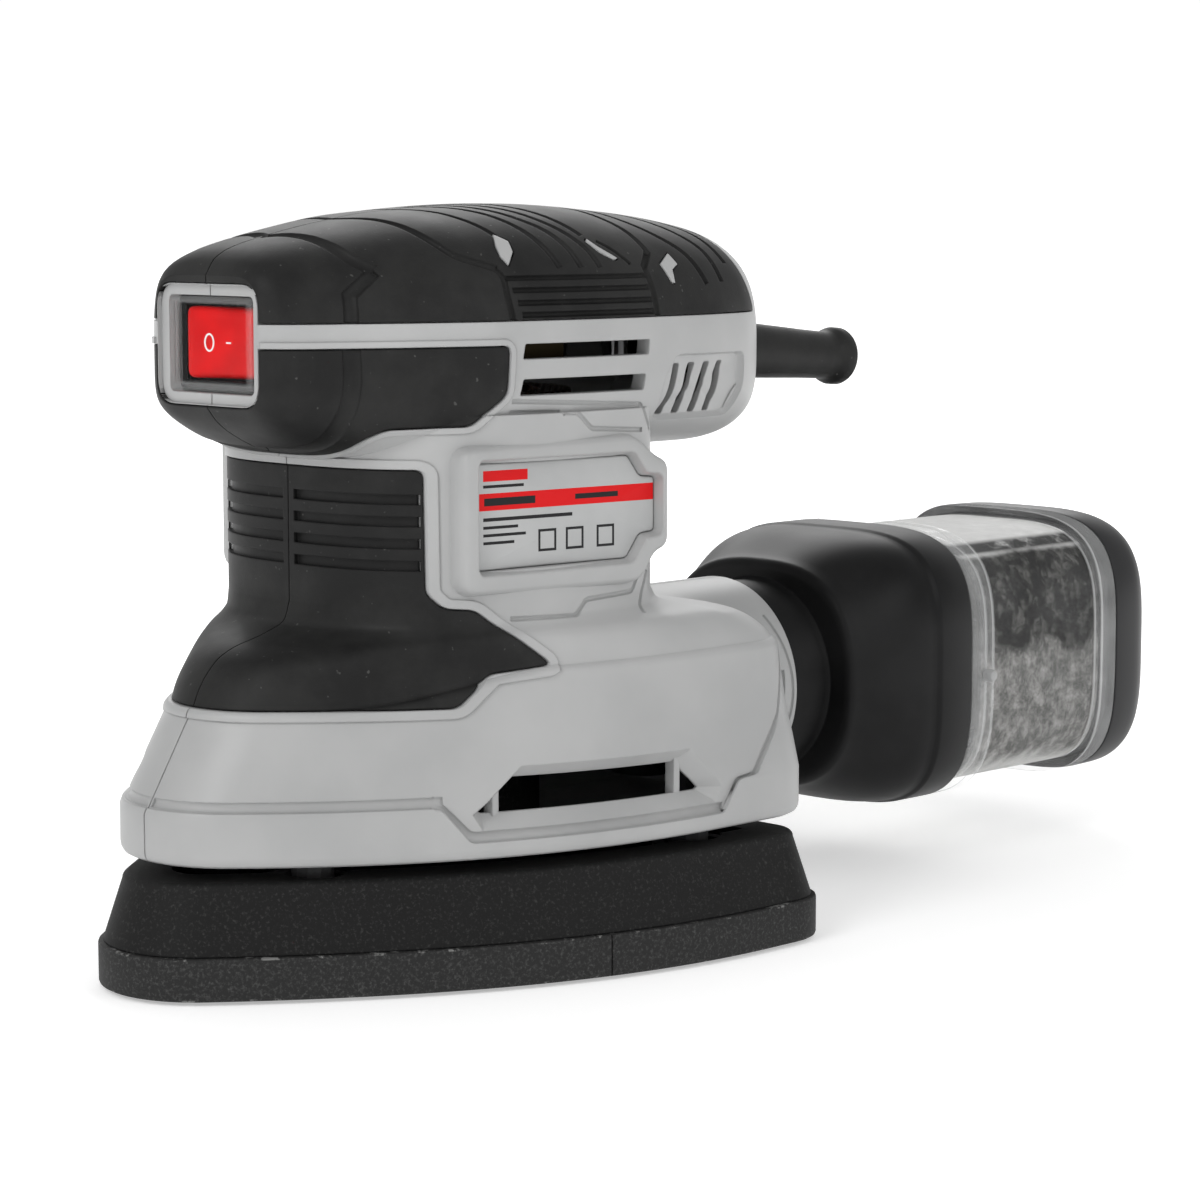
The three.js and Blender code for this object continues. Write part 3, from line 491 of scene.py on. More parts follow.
class Skin:
    """Finds where a line on the tool lies on its outer surface, and which way that surface faces."""

    def __init__(self, piece):
        view = bpy.context.evaluated_depsgraph_get()
        self.tree = BVHTree.FromObject(piece, view)

    def landed(self, starts, aims):
        places, facings = [], []
        for start, aim in zip(starts, aims):
            place, facing, _, _ = self.tree.ray_cast(Vector(start) * MM, Vector(aim))
            if place:
                places.append(np.array(place) / MM)
                facings.append(np.array(facing))
        return np.array(places), np.array(facings)

    def on_side(self, line):
        """A (y, z) line pressed onto the left side."""
        line = np.asarray(line, float)
        starts = np.insert(line, 0, 90, axis=1)
        return self.landed(starts, [(-1, 0, 0)] * len(line))

    def on_head(self, line):
        """Rough points pressed out onto the head from its middle axis."""
        line = np.asarray(line, float)
        starts = line * (0, 1, 0) + (0, 0, head_middle)
        starts[:, 0] = seam + 0.5
        return self.landed(starts, line - starts)

    def on_neck(self, line):
        """Rough points pressed out onto the neck, skirt or foot from the upright axis."""
        line = np.asarray(line, float)
        starts = line * (0, 0, 1) + (seam + 0.5, neck_middle, 0)
        return self.landed(starts, line - starts)


def evenly(line, spacing=0.8, closed=False):
    """The same line with points at an even spacing."""
    line = np.asarray(line, float)
    if closed:
        line = np.concatenate([line, line[:1]])
    lengths = np.concatenate([[0], np.cumsum(np.linalg.norm(np.diff(line, axis=0), axis=1))])
    count = max(3, int(lengths[-1] / spacing))
    at = np.linspace(0, lengths[-1], count + 1)[: count if closed else count + 1]
    return np.stack([np.interp(at, lengths, axis) for axis in line.T], 1)


def curve(guides, spacing=0.8):
    """A smooth open line through guide points."""
    guides = np.asarray(guides, float)
    lengths = np.concatenate([[0], np.cumsum(np.linalg.norm(np.diff(guides, axis=0), axis=1))])
    at = np.linspace(0, lengths[-1], int(lengths[-1] / spacing) + 2)
    return through(np.column_stack([lengths, guides]), at)


def sweep(places, facings, profile, closed=False, ends=1.0):
    """A strip laid along a line on a surface.

    The profile is (across, out), and across points to the right of the way.
    """
    for _ in range(2):
        spread = np.roll(facings, 1, 0) + facings * 2 + np.roll(facings, -1, 0)
        if not closed:
            spread[0], spread[-1] = facings[0], facings[-1]
        facings = spread / np.linalg.norm(spread, axis=1)[:, None]
    if closed:
        along = np.roll(places, -1, 0) - np.roll(places, 1, 0)
    else:
        along = np.gradient(places, axis=0)
    along /= np.linalg.norm(along, axis=1)[:, None]
    across = np.cross(along, facings)
    across /= np.linalg.norm(across, axis=1)[:, None]
    up = np.cross(across, along)
    rings = [p + np.outer([a for a, _ in profile], c) + np.outer([h for _, h in profile], u)
             for p, c, u in zip(places, across, up)]
    if not closed:
        rings[0] = rings[0] - along[0] * ends
        rings[-1] = rings[-1] + along[-1] * ends
        return loft("strip", rings)
    count = len(profile)
    faces = []
    for k in range(len(rings)):
        here, ahead = k * count, (k + 1) % len(rings) * count
        for i in range(count):
            j = (i + 1) % count
            faces.append((here + i, here + j, ahead + j, ahead + i))
    made = piece_from("strip", np.concatenate(rings), faces)
    made.data.flip_normals()
    return made


outer = hull(0)
skin = Skin(outer)

# Side outlines (y, z) of the rubber areas, of the foot's bumper and of the windows.
strip_low, strip_high = 106.4, 110.8
top_area = [[-62, strip_high], [50.4, strip_high], [46.6, 121], [43, 140], [-62, 140]]
chin_area = [[-62, strip_low], [-62, 80], [-39.4, 80], [-37.6, 91.4], [-35, 93.2], [-21.8, 93.4],
             [-15.8, 98.4], [-15.4, strip_low]]
neck_area = [[-75, 86], [-75, 46.9], [-27, 46.9], [-21, 52.2], [-10.6, 53.1], [-21.4, 62.4], [-26, 62.8],
             [-28.2, 65.4], [-28.4, 86]]
bumper_area = [[-80, 15], [-80, foot_step], [-33.2, foot_step], [-28.4, 24.8], [21.6, 24.8], [25.4, 30.2],
               [30.2, 30.6], [39.6, 40.2], [43, 60], [60, 60], [60, 15]]


def area_prism(area, spread=0.0, radius=1.2):
    return prism(grow(rounded(area, radius), spread), -5, 90)


def bumper():
    """The foot's lower band, proud of the wall above it, with an eased lower edge."""
    levels = [(21.8, 1.3), (22.2, 0.5), (22.9, 0.1), (23.6, 0), (30, 0), (36, 0.0), (47, 0.0)]
    rings = []
    lean = (foot_plan - shoulder_plan) / 16
    for height, inset in levels:
        plan = grow(foot_plan, -inset) - lean * max(0, height - foot_step)
        rings.append(raised(plan, height))
    return combine(left_half(loft("bumper", rings)), "INTERSECT", area_prism(bumper_area, 0, 0.8))


plate_outline = [[-21.6, 87.1], [10.6, 87.1], [13.2, 83.4], [16.5, 83.1],
                 [16.5, 73.6], [13.2, 73.3], [10.3, 69.2], [-21.6, 69.0]]


def on_plate(outline, depth):
    """A (y, z) outline put at a depth below the label's plane, which faces a little forward."""
    turn = math.radians(-7)
    along = outline[:, 0] - 18
    return np.stack([36.6 - depth * math.cos(turn) - along * math.sin(turn),
                     18 - depth * math.sin(turn) + along * math.cos(turn), outline[:, 1]], 1)


def label_frame():
    """A raised frame round a sunk panel on the neck's side."""
    outside = [[-24.8, 89.4], [11.2, 90.2], [15.4, 86.6], [18.2, 85.4],
               [18.2, 71.4], [15.4, 70.4], [12.2, 65.4], [-24.8, 65.6]]
    inside = plate_outline
    levels = [(outside, 1.0, 9), (outside, 0.6, 0.9), (outside, 0.3, -0.3), (outside, -0.2, -0.9),
              (outside, -0.6, -1.1), (inside, 0.9, -1.1), (inside, 0.65, -0.9), (inside, 0.4, -0.1),
              (inside, 0.1, 0.8), (inside, -0.1, 1.9)]
    rings = []
    for outline, spread, depth in levels:
        flat = grow(rounded(outline, 2.4 if outline is outside else 0.8), spread)
        rings.append(on_plate(flat, depth))
    return loft("label_frame", rings)


def label_slab(low, high, spread=0.0):
    """A slab with the label's outline between two depths."""
    inside = rounded(plate_outline, 0.8)
    return loft("label_slab", [on_plate(grow(inside, spread), low), on_plate(grow(inside, spread), high)])


bezel = {"half_width": 13.4, "half_height": 10.2, "z": 106.9}
switch_hole = {"half_width": 11.1, "half_height": 8.1, "z": 106.9}


def box_ring(half_width, half_height, z, y, radius):
    """A rounded rectangle across Y."""
    flat = rounded(oblong(0, 0, half_width, half_height), radius, steps=8)
    return np.stack([flat[:, 0], np.full(len(flat), y), flat[:, 1] + z], 1)


def bezel_frame():
    w, h, z = bezel.values()
    steps = [(-0.2, 12.0), (-0.2, 1.3), (-0.35, 0.85), (-0.8, 0.6), (-1.3, 0.55), (-1.8, 0.65),
             (-2.05, 1.0)]
    rings = [box_ring(w + d, h + d, z, head_front + y, 4.0 + d) for d, y in steps]
    rings.append(box_ring(w - 2.1, h - 2.1, z, head_front + 1.6, 1.8))
    return left_half(loft("bezel", rings))


def spaced(corners):
    """A closed outline with ten points on each straight."""
    ahead = np.roll(corners, -1, 0)
    return np.concatenate([np.linspace(a, b, 10, endpoint=False) for a, b in zip(corners, ahead)])


def window_cutter():
    """The base window: a funnel in the wall that ends in a narrower opening."""
    mouth_line = [[-27.6, 29.4], [-18.6, 36.9], [15.2, 36.6], [21.8, 29.4], [20.6, 26.7], [-25.8, 26.4]]
    throat_line = [[-25.2, 29.5], [-19, 34.9], [12.8, 34.4], [18.2, 29.4], [17.6, 29], [-24.6, 29.2]]
    mouth, throat = [skin.on_side(spaced(line))[0] for line in (mouth_line, throat_line)]
    flared = mouth + (mouth - throat) * 0.3 + (1.0, 0, 0)
    return loft("window", [flared + (6, 0, 0), flared, mouth, throat - (2.5, 0, 0), throat - (12, 0, 0)])


side_slots = [[-12.6, 16.0, 104.2, 106.8], [-13.0, 15.0, 98.1, 100.9]]  # y from and to, z from and to
vent_tools = []
for start, end, low, high in side_slots:
    outline = [[start, low], [end, low], [end + 0.3, high], [start + 0.5, high]]
    vent_tools.append(prism(rounded(outline, 0.4), 20, 60))
for k in range(4):
    y, half = 22.5 + 4.35 * k, 0.95
    spine = np.array([[y, 93.4], [y + 0.9, 95.6], [y + 1.5, 98.2], [y + 1.9, 100.6], [y + 2.1, 102.3]])
    outline = np.concatenate([spine - (half, 0), (spine + (half, 0))[::-1]])
    vent_tools.append(prism(rounded(outline, 0.5), 10, 60))


def vent_panel():
    """A shallow sunk panel round the rear vents."""
    corners = [[19.6, 92.4], [20.2, 99.5], [23.4, 103.9], [44.4, 103.7], [44.4, 97.2], [41.4, 92.2]]
    places, facings = skin.on_side(evenly(rounded(corners, 1.4), 1, True))
    sunk = blend(places, places.mean(0), 0.05) - facings
    return loft("panel", [places + facings * 2, places - facings * 0.05, sunk])


def line_tool(places_facings, width, depth, ends=0.6):
    """A groove cutter with a round bottom."""
    half, above = width / 2, 0.6
    turns = np.linspace(-math.pi / 2, math.pi / 2, 9)
    bottom = [(half * math.sin(t), -depth * math.cos(t)) for t in turns]
    return sweep(*places_facings, [(-half, above), *bottom, (half, above)], ends=ends)


def bezel_keep(grow_by=0.0):
    """The room inside the switch frame's outline, right through the front."""
    w, h, z = bezel.values()
    return loft("keep", [box_ring(w + grow_by, h + grow_by, z, head_front + y, 4.2) for y in (-6, 12)])


def rim(area, width, height):
    """A raised edge outside a rubber area."""
    band = combine(area_prism(area, width), "DIFFERENCE", prism(grow(rounded(area, 1.2), 0.1), -6, 91))
    return combine(band, "INTERSECT", hull(-height))


def rod(radius, low, high, across=(0, 0), axis=2, sides=48):
    """A cylinder along an axis; across is its place in the other two."""
    turn = np.linspace(0, 2 * np.pi, sides, endpoint=False)
    return prism(np.stack([radius * np.cos(turn), radius * np.sin(turn)], 1) + across, low, high, axis)


def stamp(outline, spread=0.0):
    """A cutter that carries an outline on the head in and out along the way the surface faces."""
    places, facings = skin.on_head(outline)
    centre, facing = places.mean(0), facings.mean(0)
    facing /= np.linalg.norm(facing)
    away = places - centre
    away *= 1 + spread / np.linalg.norm(away, axis=1)[:, None]
    return loft("stamp", [centre + away + facing * d for d in (-2.4, 3)])


sliver_back = [[26.9, 8.2, 123.6], [28.5, 9.4, 122.4], [30.2, 12.4, 120.4]]
sliver_front = [[30.4, 11.4, 120.2], [29.2, 9, 121.6], [27.4, 7.6, 123.2]]
sliver = np.concatenate([curve(sliver_back, 0.6), curve(sliver_front, 0.6)])
diamond = np.array([[28.7, 26.6, 121.1], [30, 27.5, 119.1], [30.7, 25.4, 118.2], [32.0, 24.8, 116.0],
                    [31.6, 24.0, 116.2], [30.4, 22.9, 119.3]])
leaf = np.array([[23.6, -10.6, 124.5], [25.4, -9.0, 123.3], [27.4, -9.8, 121.6], [29.1, -12.2, 119.6],
                 [27.8, -12.8, 121.1], [26.0, -12.2, 122.6]])
# Each case screw's y and z, and how far its head sits from the centre plane.
screw_places = [(-57, 35, 7), (-31, 118, 16), (36, 117.5, 16), (46, 93.5, 16), (39, 47, 22)]

extras = [bumper(), label_frame(), bezel_frame()]
for area, width, height in ((chin_area, 1.3, 0.3), (neck_area, 1.8, 0.3)):
    extras.append(combine(rim(area, width, height), "DIFFERENCE", bezel_keep(0.5)))
housing = combine(copy(outer), "UNION", *extras)
tools = [hull(shell_wall)]
for area in (top_area, chin_area, neck_area):
    recess = combine(area_prism(area, 0.25), "DIFFERENCE", hull(grip_skin + 0.2))
    tools.append(combine(recess, "DIFFERENCE", bezel_keep(-0.15)))
hole = switch_hole
opening = [box_ring(hole["half_width"], hole["half_height"], hole["z"], head_front + y, 1.2)
           for y in (-6, 14)]
tools.append(loft("front_face", [box_ring(13.1, 9.9, bezel["z"], head_front + y, 3.6)
                                 for y in (-3, 0.9)]))
tools += [*vent_tools, vent_panel(), window_cutter(), label_slab(1.6, -6), loft("switch_hole", opening)]
nose_plan = foot_plan[(foot_plan[:, 0] > 0.8) & (foot_plan[:, 1] < -33)]
tools.append(line_tool(skin.on_neck(evenly(raised(nose_plan, 31.9), 0.8)), 1.7, 0.6))
foot_line = rounded([[-33.6, 31.9], [-28, 25.7], [21.4, 25.7]], 0.8, False)
tools.append(line_tool(skin.on_side(evenly(foot_line, 0.8)), 1.7, 0.6))
trims = [
    [[-13.8, 95.3], [-0.9, 94.9], [2.4, 92.0], [14.6, 91.2]], [[-13.8, 97.2], [15.1, 95.6], [17.6, 91.6]],
    [[-14.6, 60.7], [-1.6, 60.4], [1.0, 62.8], [12.2, 63.3], [15.4, 68.6]], [[13.4, 59.9], [16.6, 66]],
    [[22.2, 24.6], [25.6, 30.0], [29.8, 30.5], [38.6, 40.2], [44.6, 51]],
]
for trim in trims:
    tools.append(line_tool(skin.on_side(evenly(rounded(trim, 0.5, False), 0.6)), 0.8, 0.5))
round_port = np.sin(np.linspace(-0.75, 0.75, 30))
port_arc = np.stack([port_rear - 2 - 4.4 * round_port ** 2, port_z + port_radius * round_port], 1)
tools.append(line_tool(skin.on_side(port_arc), 0.7, 0.5))
tools.append(line_tool(skin.on_side(evenly([[67.6, 36.4], [67.9, 41.6]], 0.5)), 1.1, 0.8))
housing = combine(housing, "DIFFERENCE", *tools)
inserts = [combine(stamp(outline), "INTERSECT", hull(-0.1)) for outline in (sliver, diamond, leaf)]
struts = []
for y in (-22.4, 13.4):
    struts.append(prism(oblong(40.35 + 0.212 * y, y, 1.05, 0.7), 27, 38, 2))
housing = combine(housing, "UNION", label_slab(5, 1.65, 1.4), *inserts, *struts)

plastic = Shade("housing_plastic", Specular_IOR_Level=0.42)
cloud = plastic.noise(45, 4)
grain = plastic.noise(1900, 2)
plastic.finish(plastic.mix(cloud.over(0.3, 0.7), (0.368, 0.371, 0.371), (0.412, 0.414, 0.413)),
               0.36 + cloud * 0.1, [(grain, 0.25, 4e-5)], 4e-4)


def settle(piece, name, body, slot, material, *nodes, angle=32):
    """Names a piece, gives it its material, says which body it belongs to and hides the CAD nodes it stands
    for.
    """
    piece.name = piece.data.name = name
    piece.data.materials.clear()
    piece.data.materials.append(material)
    soften(piece, angle)
    if nodes:
        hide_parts(*nodes)
    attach(piece, body)


def both_sides(piece, name, body, slot, material, node, *right_tools):
    """Settles a left piece and its mirror image."""
    right = copy(piece, mirrored=True)
    if right_tools:
        combine(right, "DIFFERENCE", *right_tools)
    settle(piece, name + "_left", body, slot, material, node + "_left")
    settle(right, name + "_right", body, slot, material, node + "_right")


def screw_wells():
    return [rod(3.5, -60, -seat, (y, z), 0, 32) for y, z, seat in screw_places]


bosses = [combine(rod(5, seam, 60, (y, z), 0, 32), "INTERSECT", hull(0.8)) for y, z, _ in screw_places]
housing = combine(housing, "UNION", *bosses)
both_sides(housing, "shell", "housing", "housing_plastic", plastic.material, "housing", *screw_wells())

# ---- Rubber grips -------------------------------------------------------
# Black rubber moulded over the shell in three patches a side: over the head with flowing grooves and side
# ribs, under the chin with one wide band, and round the neck with four finger slots.
rubber = Shade("grip_rubber", Specular_IOR_Level=0.2)
smudge = rubber.noise(70, 5, 0.6)
pores = rubber.noise(3000, 2)
speck = rubber.noise(900, 1).over(0.74, 0.8)
soot_tone = rubber.mix(smudge.over(0.35, 0.7), (0.009, 0.009, 0.009), (0.018, 0.018, 0.0175))
rubber.finish(rubber.mix(speck * 0.35, soot_tone, (0.14, 0.14, 0.135)), 0.62 - smudge * 0.16,
              [(pores, 0.35, 5e-5)], 4e-4)


def grip(area):
    """The rubber over an area, down to its thickness under the surface."""
    patch = combine(area_prism(area), "INTERSECT", copy(outer))
    return combine(patch, "DIFFERENCE", hull(grip_skin), bezel_keep(0.05))


def head_groove(width, depth, *guides):
    return line_tool(skin.on_head(curve(guides, 0.7)), width, depth, 0.4)


top_grooves = [  # width, depth, and the route over the head
    (2.7, 0.8, [0.6, -40.7, 124.6], [4, -39.5, 124.7], [12.9, -39, 123.5], [17.8, -38.2, 121.4],
     [21.6, -35.8, 119.3]),
    (2.4, 0.8, [22.2, -35.8, 118.9], [21.6, -40.9, 115]),
    (2.6, 0.8, [21.7, -40.7, 115.2], [22.5, -41.2, 110]),
    (1.7, 0.8, [0.6, -26, 127.3], [8.6, -24.4, 127], [19, -23.6, 124.7], [25, -21.6, 121.3],
     [29, -15.2, 119.1]),
    (1.3, 0.8, [29, -15.3, 119.2], [30.2, -14.4, 117.3], [31.6, -14.6, 114.7], [32.2, -14.2, 110]),
    (1.2, 0.8, [0.6, -12.2, 128.8], [14.7, -11.9, 127.7], [24, -10.4, 124.2]),
    (1.3, 0.7, [0.6, -6.4, 129.2], [11, -5.8, 128.4], [18.2, -4.8, 127.1], [24, -3.6, 124.8],
     [28.6, -2.4, 121.5], [30.1, -1.9, 119.2]),
    (1.3, 0.7, [0.6, -3.2, 129.4], [11, -2.6, 128.5], [18.9, -1.2, 127], [24.4, 1, 124.9],
     [28.7, 2.4, 121.8], [30.5, 2.8, 119.2]),
    (1.3, 0.7, [0.6, 0.2, 129.6], [11, 0.8, 128.6], [19.7, 2.4, 127], [25.1, 4.6, 124.7],
     [29.3, 6.6, 121.8], [30.9, 7.2, 119.2]),
    (1.3, 0.7, [0.6, 3.8, 129.7], [11, 4.4, 128.6], [20.5, 6, 127], [25.6, 7.6, 124.3]),
    (0.9, 0.7, [27.6, 10.4, 123.2], [28.6, 12, 122.2], [30.5, 14.8, 119.6]),
    (1.4, 0.8, [0.6, 18.2, 129.7], [11, 18.8, 128.6], [18.6, 19.4, 127.1], [24.3, 20.6, 124.8],
     [28.8, 21.3, 121.4]),
    (1.4, 0.8, [28.9, 21.2, 121.3], [30.9, 18.2, 118.9]),
    (1.4, 0.8, [31, 18.2, 118.8], [33.2, 18.4, 114.8], [33.6, 18.6, 110]),
    (1.4, 0.8, [0.6, 22.4, 129.4], [9, 22.9, 128.7], [17.4, 24, 127.1], [23.8, 27.3, 124.5],
     [28.1, 31.7, 120.6], [30.5, 33.7, 115.8]),
    (1.4, 0.8, [0.6, 28.4, 128.8], [8, 29.2, 128.2], [15, 31.2, 127.1], [22.1, 35.4, 124],
     [25.8, 38.2, 120.5], [28.9, 38.9, 115.9]),
    (1.4, 0.8, [0.6, 34.4, 127.8], [8, 35.4, 127.2], [14.6, 38, 125.8], [19.8, 41.6, 123.4],
     [24.4, 43, 118]),
    (1.4, 0.8, [0.6, 40.2, 126.4], [8, 41.4, 125.8], [14.4, 44, 124], [19.4, 46.6, 120.4]),
]
top_grip = grip(top_area)
grooves = [head_groove(*groove) for groove in top_grooves]
for z in (111.6, 113.6, 115.7, 117.7):
    start = -13.2 + (117.7 - z) * 0.25
    grooves.append(line_tool(skin.on_side(evenly([[start, z], [17.9, z]], 0.8)), 1.05, 0.8))
grooves += [stamp(outline, 0.35) for outline in (sliver, diamond, leaf)]
top_grip = combine(top_grip, "DIFFERENCE", *grooves)
both_sides(top_grip, "head_grip", "housing", "grip_rubber", rubber.material, "top_grip", *screw_wells())

chin_band = [[22.6, -41.4, 107], [23.5, -41.2, 102], [22.5, -41.4, 98.3], [19.3, -42.2, 93.3],
             [11, -42, 89.9], [0.6, -41.6, 88.6]]
chin_groove = line_tool(skin.on_head(curve(chin_band, 0.7)), 3.2, 0.6)
chin_grip = combine(grip(chin_area), "DIFFERENCE", chin_groove)
both_sides(chin_grip, "under_grip", "housing", "grip_rubber", rubber.material, "chin_grip",
           *screw_wells())

slots = []
outer_ring, inner_ring = grow(neck_plan(), 4), grow(neck_plan(), -0.9)
for z in (81.2, 77.5, 73.8, 70.1):
    high, low = z + 0.85, z - 0.85
    band = loft("slot", [raised(outer_ring, low), raised(outer_ring, high)])
    core = loft("core", [raised(inner_ring, low - 1), raised(inner_ring, high + 1)])
    window = prism(oblong(13.4, -40, 12, 20), low - 2, high + 2, 2)
    slots.append(combine(combine(band, "DIFFERENCE", core), "INTERSECT", window))
neck_grip = combine(grip(neck_area), "DIFFERENCE", *slots)
both_sides(neck_grip, "neck_sleeve", "housing", "grip_rubber", rubber.material, "neck_grip",
           *screw_wells())

# ---- Rating plate -------------------------------------------------------
# A thin printed plate lies in the frame on each side of the neck. Its print is a plain red band and
# short bars that stand for lines of text.
label_sheet = Shade("label_print", Specular_IOR_Level=0.2)
across, up = label_sheet.axis("Y") * 1000, label_sheet.axis("Z") * 1000


def block_of(y_low, y_high, z_low, z_high):
    return (across > y_low) * (across < y_high) * (up > z_low) * (up < z_high)


red_print = block_of(-30, 30, 79.1, 82.0) | block_of(-19.8, -10.6, 84.0, 85.8)
ink = block_of(-19.8, -11.4, 82.9, 83.4)
for bar in ((-19.6, -9, 79.9, 81.2), (-0.6, 8.6, 80.1, 81.0), (-19.8, -1.2, 77.3, 77.9),
            (-19.8, -12.6, 76.0, 76.5), (-19.8, -11.0, 74.7, 75.2), (-19.8, -13.4, 73.4, 73.9)):
    ink = ink | block_of(*bar)
for y in (-8.4, -2.6, 4.0):
    ink = ink | block_of(y, y + 3.8, 71.6, 75.4) - block_of(y + 0.45, y + 3.35, 72.05, 74.95)
tone = label_sheet.noise(60, 3)
paper = label_sheet.mix(tone.over(0.3, 0.7), (0.4, 0.405, 0.405), (0.45, 0.455, 0.455))
printed = label_sheet.mix(ink, label_sheet.mix(red_print, paper, (0.64, 0.003, 0.005)),
                          (0.012, 0.012, 0.013))
label_sheet.finish(printed, 0.42 + tone * 0.1, [(label_sheet.noise(1500, 2), 0.15, 2e-5)])


def rating_plate():
    outline = grow(rounded(plate_outline, 0.8), -0.15)
    levels = ((0.1, 1.5), (0, 1.4), (0, 1.0), (0.12, 0.86), (0.3, 0.8))
    return loft("rating_plate", [on_plate(grow(outline, -inset), depth) for inset, depth in levels])


both_sides(rating_plate(), "rating_plate", "housing", "label", label_sheet.material, "label_plate")

# ---- Housing screws -----------------------------------------------------
# Pan-head steel screws with a cross recess, driven from the right side into the left shell.
steel = Shade("steel", Metallic=1.0)
streak = steel.noise(260, 4)
steel.finish(steel.mix(streak, (0.42, 0.42, 0.43), (0.56, 0.56, 0.57)), 0.26 + streak * 0.2,
             [(steel.noise(2400, 2), 0.2, 2e-5)])


def turned(profile, across=(0, 0), axis=1, sides=64):
    """A solid of revolution over (radius, along) points."""
    turn = np.linspace(0, 2 * np.pi, sides, endpoint=False)
    circle = np.stack([np.cos(turn), np.sin(turn)], 1)
    rings = [np.insert(circle * radius + across, axis, along, axis=1) for radius, along in profile]
    return loft("turned", rings)


for number, (y, z, seat) in enumerate(screw_places, 1):
    head = -seat - 2.4
    profile = [(1.2, head), (2.3, head), (2.9, head + 0.5), (3.1, head + 1.1), (3.1, head + 2.0),
               (1.6, head + 2.05), (1.6, seat * 0.75 - 2), (0.4, seat * 0.75 - 1)]
    pin = turned(profile, (y, z), 0, 32)
    cross = [prism(oblong(y, z, a, b), head - 1, head + 1.1) for a, b in ((1.7, 0.35), (0.35, 1.7))]
    settle(combine(pin, "DIFFERENCE", *cross), f"case_screw_{number}", "housing", "steel", steel.material,
           f"housing_screw_{number}")

# ---- Switch -------------------------------------------------------------
# A snap-in rocker switch sits behind a clear moulded cover in the grey frame. The key is red, glossy and
# a little translucent, with a raised ring and bar; it rocks about an upright pin.
black = Shade("black_plastic", Specular_IOR_Level=0.14)
haze = black.noise(50, 4)
black.finish(black.mix(haze.over(0.35, 0.7), (0.006, 0.006, 0.0063), (0.012, 0.012, 0.0123)),
             0.34 + haze * 0.18,
             [(black.noise(2300, 2), 0.25, 3e-5)], 4e-4)
front, key_z = head_front, switch_hole["z"] + 0.2


def tray(half_width, half_height, low, high, radius):
    return loft("tray", [box_ring(half_width, half_height, key_z, front + y, radius)
                         for y in (low, high)])


tabs = [prism(oblong(x, key_z, 2.4, 0.4), front + 18.8, front + 26, 1) for x in (-5, 5)]
case = combine(tray(10.8, 7.8, 2.9, 4.2, 1.0), "UNION", tray(9.8, 7.1, 4.0, 19, 0.6), *tabs)
case = combine(case, "DIFFERENCE", tray(9.1, 6.35, -1, 11, 0.4))
settle(case, "switch_case", "housing", "black_plastic", black.material, "switch_body")

red = Shade("red_key", Specular_IOR_Level=0.08, Coat_Weight=0.05, Coat_Roughness=0.1)
glow = red.noise(220, 3)
red.finish(red.mix(glow.over(0.3, 0.75), (0.56, 0.002, 0.003), (0.7, 0.004, 0.005)), 0.3 + glow * 0.08,
           [(red.noise(1500, 2), 0.1, 2e-5)], 3e-4)
white_ink = Shade("white_mark")
white_ink.finish(white_ink.mix(white_ink.noise(800, 2), (0.8, 0.76, 0.76), (0.9, 0.88, 0.88)), 0.4)
pivot_y, key_half, key_rise = -46.9, 8.3, 6.0


def key_surface(x):
    """How far the key's dished face stands in front of its pin at x."""
    return -2.6 - 0.8 * (x / key_half) ** 2


def rocked(points):
    """Turns plan points with the key at rest, and puts them at its pin."""
    turn = math.radians(9)
    x, y, z = np.asarray(points, float).T
    return np.stack([x * math.cos(turn) - y * math.sin(turn),
                     pivot_y + x * math.sin(turn) + y * math.cos(turn), z], 1)


def key_ring(inset, height):
    ease = 0.8
    xs = np.linspace(-key_half + inset, key_half - inset, 25)
    face = [(x, key_surface(x) + ease * max(0, abs(x) - key_half + 1.4) ** 2 / 1.96 + inset * 0.8)
            for x in xs]
    back = [(key_half - inset, -1.2), (3, 2.4 - inset), (-3, 2.4 - inset), (-key_half + inset, -1.2)]
    return rocked([(x, y, height) for x, y in face + back])


eased = [(1.4, 0), (0.75, 0.15), (0.3, 0.5), (0.08, 1.0), (0, 1.7)]
key_rings = [key_ring(inset, key_z - key_rise + drop) for inset, drop in eased]
key_rings += [key_ring(inset, key_z + key_rise - drop) for inset, drop in reversed(eased)]
settle(loft("key", key_rings), "rocker_cap", "rocker", "red_key", red.material, "rocker_key")



def raised_mark(half):
    """The section of a mark that stands a little proud of the key."""
    return [(-half, -0.3), (-half, 0.08), (half, 0.08), (half, -0.3)]


turn = np.linspace(0, 2 * np.pi, 40, endpoint=False)
ring_x = 0.9 * np.cos(turn) - 3.4
ring_places = rocked(np.stack([ring_x, key_surface(ring_x), key_z + 1.4 * np.sin(turn)], 1))
facing = rocked([(0, -1, 0)]) - rocked([(0, 0, 0)])
circle_mark = sweep(ring_places, np.repeat(facing, 40, 0), raised_mark(0.15), True)
settle(circle_mark, "off_mark", "rocker", "red_key", white_ink.material)
bar_places = rocked(evenly([(x, key_surface(x), key_z) for x in (0.3, 1.3)], 0.4))
bar_mark = sweep(bar_places, np.repeat(facing, len(bar_places), 0), raised_mark(0.14), ends=0.05)
settle(bar_mark, "on_mark", "rocker", "red_key", white_ink.material)

